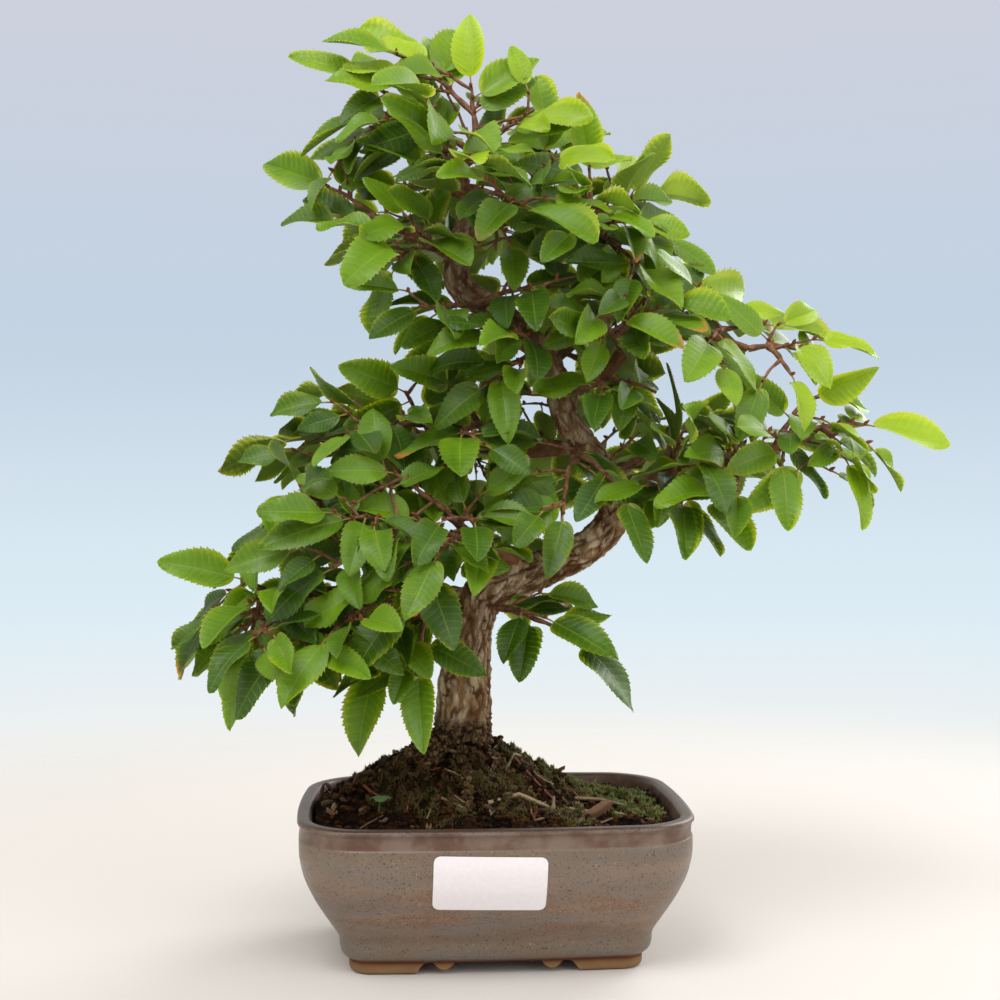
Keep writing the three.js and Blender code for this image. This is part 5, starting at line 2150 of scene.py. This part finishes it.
            stack.add(np.vstack([sheet, sheet - (0, 0, 0.35)]), faces, (pale, red, 0))

    def clover(self, stack: Stack, x: float, y: float) -> None:
        """Adds a clover leaf of three leaflets on a short stalk."""
        foot = np.array([x, y, self.top(x, y) - 1])
        head = foot + np.array([1, -3, 8])
        stalk = Bow(foot, foot + (0, 0, 4), head).at(np.linspace(0, 1, 6))
        stack.add(*tube(stalk, np.full(6, 0.35), 5), (0, 0, 0.9))
        for lobe in range(3):
            way = lobe * 2.094 + 0.5
            rim = np.linspace(-1, 1, 11)
            out = 5.8 * (1 - 0.42 * np.abs(rim) ** 1.6) - 0.9 * np.exp(-((rim / 0.16) ** 2))
            angle = way + rim * 0.95
            ring = np.stack([out * np.cos(angle), out * np.sin(angle), -0.6 + 0.9 * np.abs(rim)], 1) + head
            upper = np.vstack([head, ring])
            corners = np.vstack([upper + (0, 0, 0.15), upper - (0, 0, 0.15)])
            fan = [(0, i, i + 1) for i in range(1, 11)]
            below = [(12, 13 + i, 12 + i) for i in range(1, 11)]
            edge = [face for i in range(1, 11) for face in ((i, 12 + i, 13 + i), (i, 13 + i, i + 1))]
            ends = [(0, 12, 13), (0, 13, 1), (11, 23, 12), (11, 12, 0)]
            stack.add(corners, np.array([*fan, *below, *edge, *ends]), (0, 0, 1))

    def build(self, effects: Effects) -> None:
        """Builds the bed and all that lies on it."""
        earth = SoilFinish().make(effects)
        self.bed(earth)
        self.loose_crumbs(earth)
        self.moss_blades(MossFinish().make(effects))
        self.litter(StrawFinish().make(effects))


@dataclass
class Studio:
    """The pale floor, the soft light and the camera."""

    ground: Ground
    focal: float = 51.5
    sensor: float = 36

    def floor(self) -> None:
        """Lays the floor."""
        floor = primitive("floor", bpy.ops.mesh.primitive_plane_add, size=4, location=(0, 0, -0.0002))
        shade, surface = new_material("pale_floor")
        here = shade.place()
        surface["Base Color"] = shade.mix(
            shade.noise(here, 3.0), (0.63, 0.60, 0.57, 1), (0.67, 0.64, 0.61, 1)
        )
        away = shade.node("VectorMath", {0: here}, operation="LENGTH").outputs["Value"]
        far = shade.rise(away, 0.25, 0.85)
        clear = shade.node("BsdfTransparent").outputs[0]
        fade = shade.node("MixShader", {0: far, 1: surface.node.outputs[0], 2: clear})
        Inputs(shade.tree, shade.tree.nodes["Material Output"])[0] = fade.outputs[0]
        surface["Roughness"] = 0.8
        wear(floor, shade)

    def sky(self) -> None:
        """Lights all from a warm white sky, which the camera sees as pale blue above a white ground."""
        world = bpy.data.worlds.new("studio")
        bpy.context.scene.world = world
        world.use_nodes = True
        shade = Shade(world.node_tree)
        up = shade.split(shade.node("TexCoord").outputs["Generated"])[2]
        wall = shade.layers(
            colour(244, 243, 239),
            (shade.rise(up, -0.2, -0.06), colour(220, 236, 245)),
            (shade.rise(up, -0.1, 0.14), colour(194, 209, 225)),
            (shade.rise(up, 0.12, 0.34), colour(203, 207, 220)),
        )
        direct = shade.node("LightPath").outputs["Is Camera Ray"]
        back = Inputs(world.node_tree, world.node_tree.nodes["Background"])
        back["Color"] = shade.mix(direct, (0.78, 0.75, 0.71, 1), wall)

    def light(self) -> None:
        """Sets three large soft lamps."""
        for name, place, size, power in (
            ("key", (-0.6, -0.8, 1.5), 0.9, 17),
            ("fill", (1.1, -1.0, 0.9), 1.2, 9),
            ("back", (1.1, 1.0, 1.0), 1.0, 17),
        ):
            lamp = bpy.data.lights.new(name, "AREA")
            lamp.size = size
            lamp.energy = power
            made = bpy.data.objects.new(name, lamp)
            made.location = place
            aim = Vector((0, 0, 0.2)) - Vector(place)
            made.rotation_euler = aim.to_track_quat("-Z", "Y").to_euler()
            bpy.context.scene.collection.objects.link(made)

    def camera(self) -> None:
        """Sets the camera level, a little left of the pot's middle."""
        lens = bpy.data.cameras.new("camera")
        lens.lens = self.focal
        lens.sensor_width = self.sensor
        lens.clip_start = 0.05
        made = bpy.data.objects.new("camera", lens)
        made.location = self.ground.metres(EYE)
        made.rotation_euler = (math.pi / 2, 0, -YAW)
        bpy.context.scene.collection.objects.link(made)
        bpy.context.scene.camera = made

    def build(self) -> None:
        """Sets up the whole studio."""
        self.floor()
        self.sky()
        self.light()
        self.camera()
        bpy.context.scene.view_settings.view_transform = "Standard"


def main() -> None:
    """Loads the frame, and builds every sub-assembly in order."""
    logging.basicConfig(level=logging.INFO, format="%(message)s")
    bpy.ops.object.select_all(action="SELECT")
    bpy.ops.object.delete()
    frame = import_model()
    ground = Ground()
    effects = Effects()
    Studio(ground).build()
    growth = Growth()
    Infill(growth).grow()
    Foliage(growth, ground).build(effects, frame["nodes"])
    Twigs(growth, ground).build(effects)
    Wood(growth, ground).build(effects)
    Pot(ground).build(effects)
    Label(ground).build(effects)
    SoilBed(ground).build(effects)
    plastic = MeshFinish().make(effects)
    for name in ("drain_screen_left", "drain_screen_right"):
        wear(frame["nodes"][name], plastic)


if __name__ == "__main__":
    main()
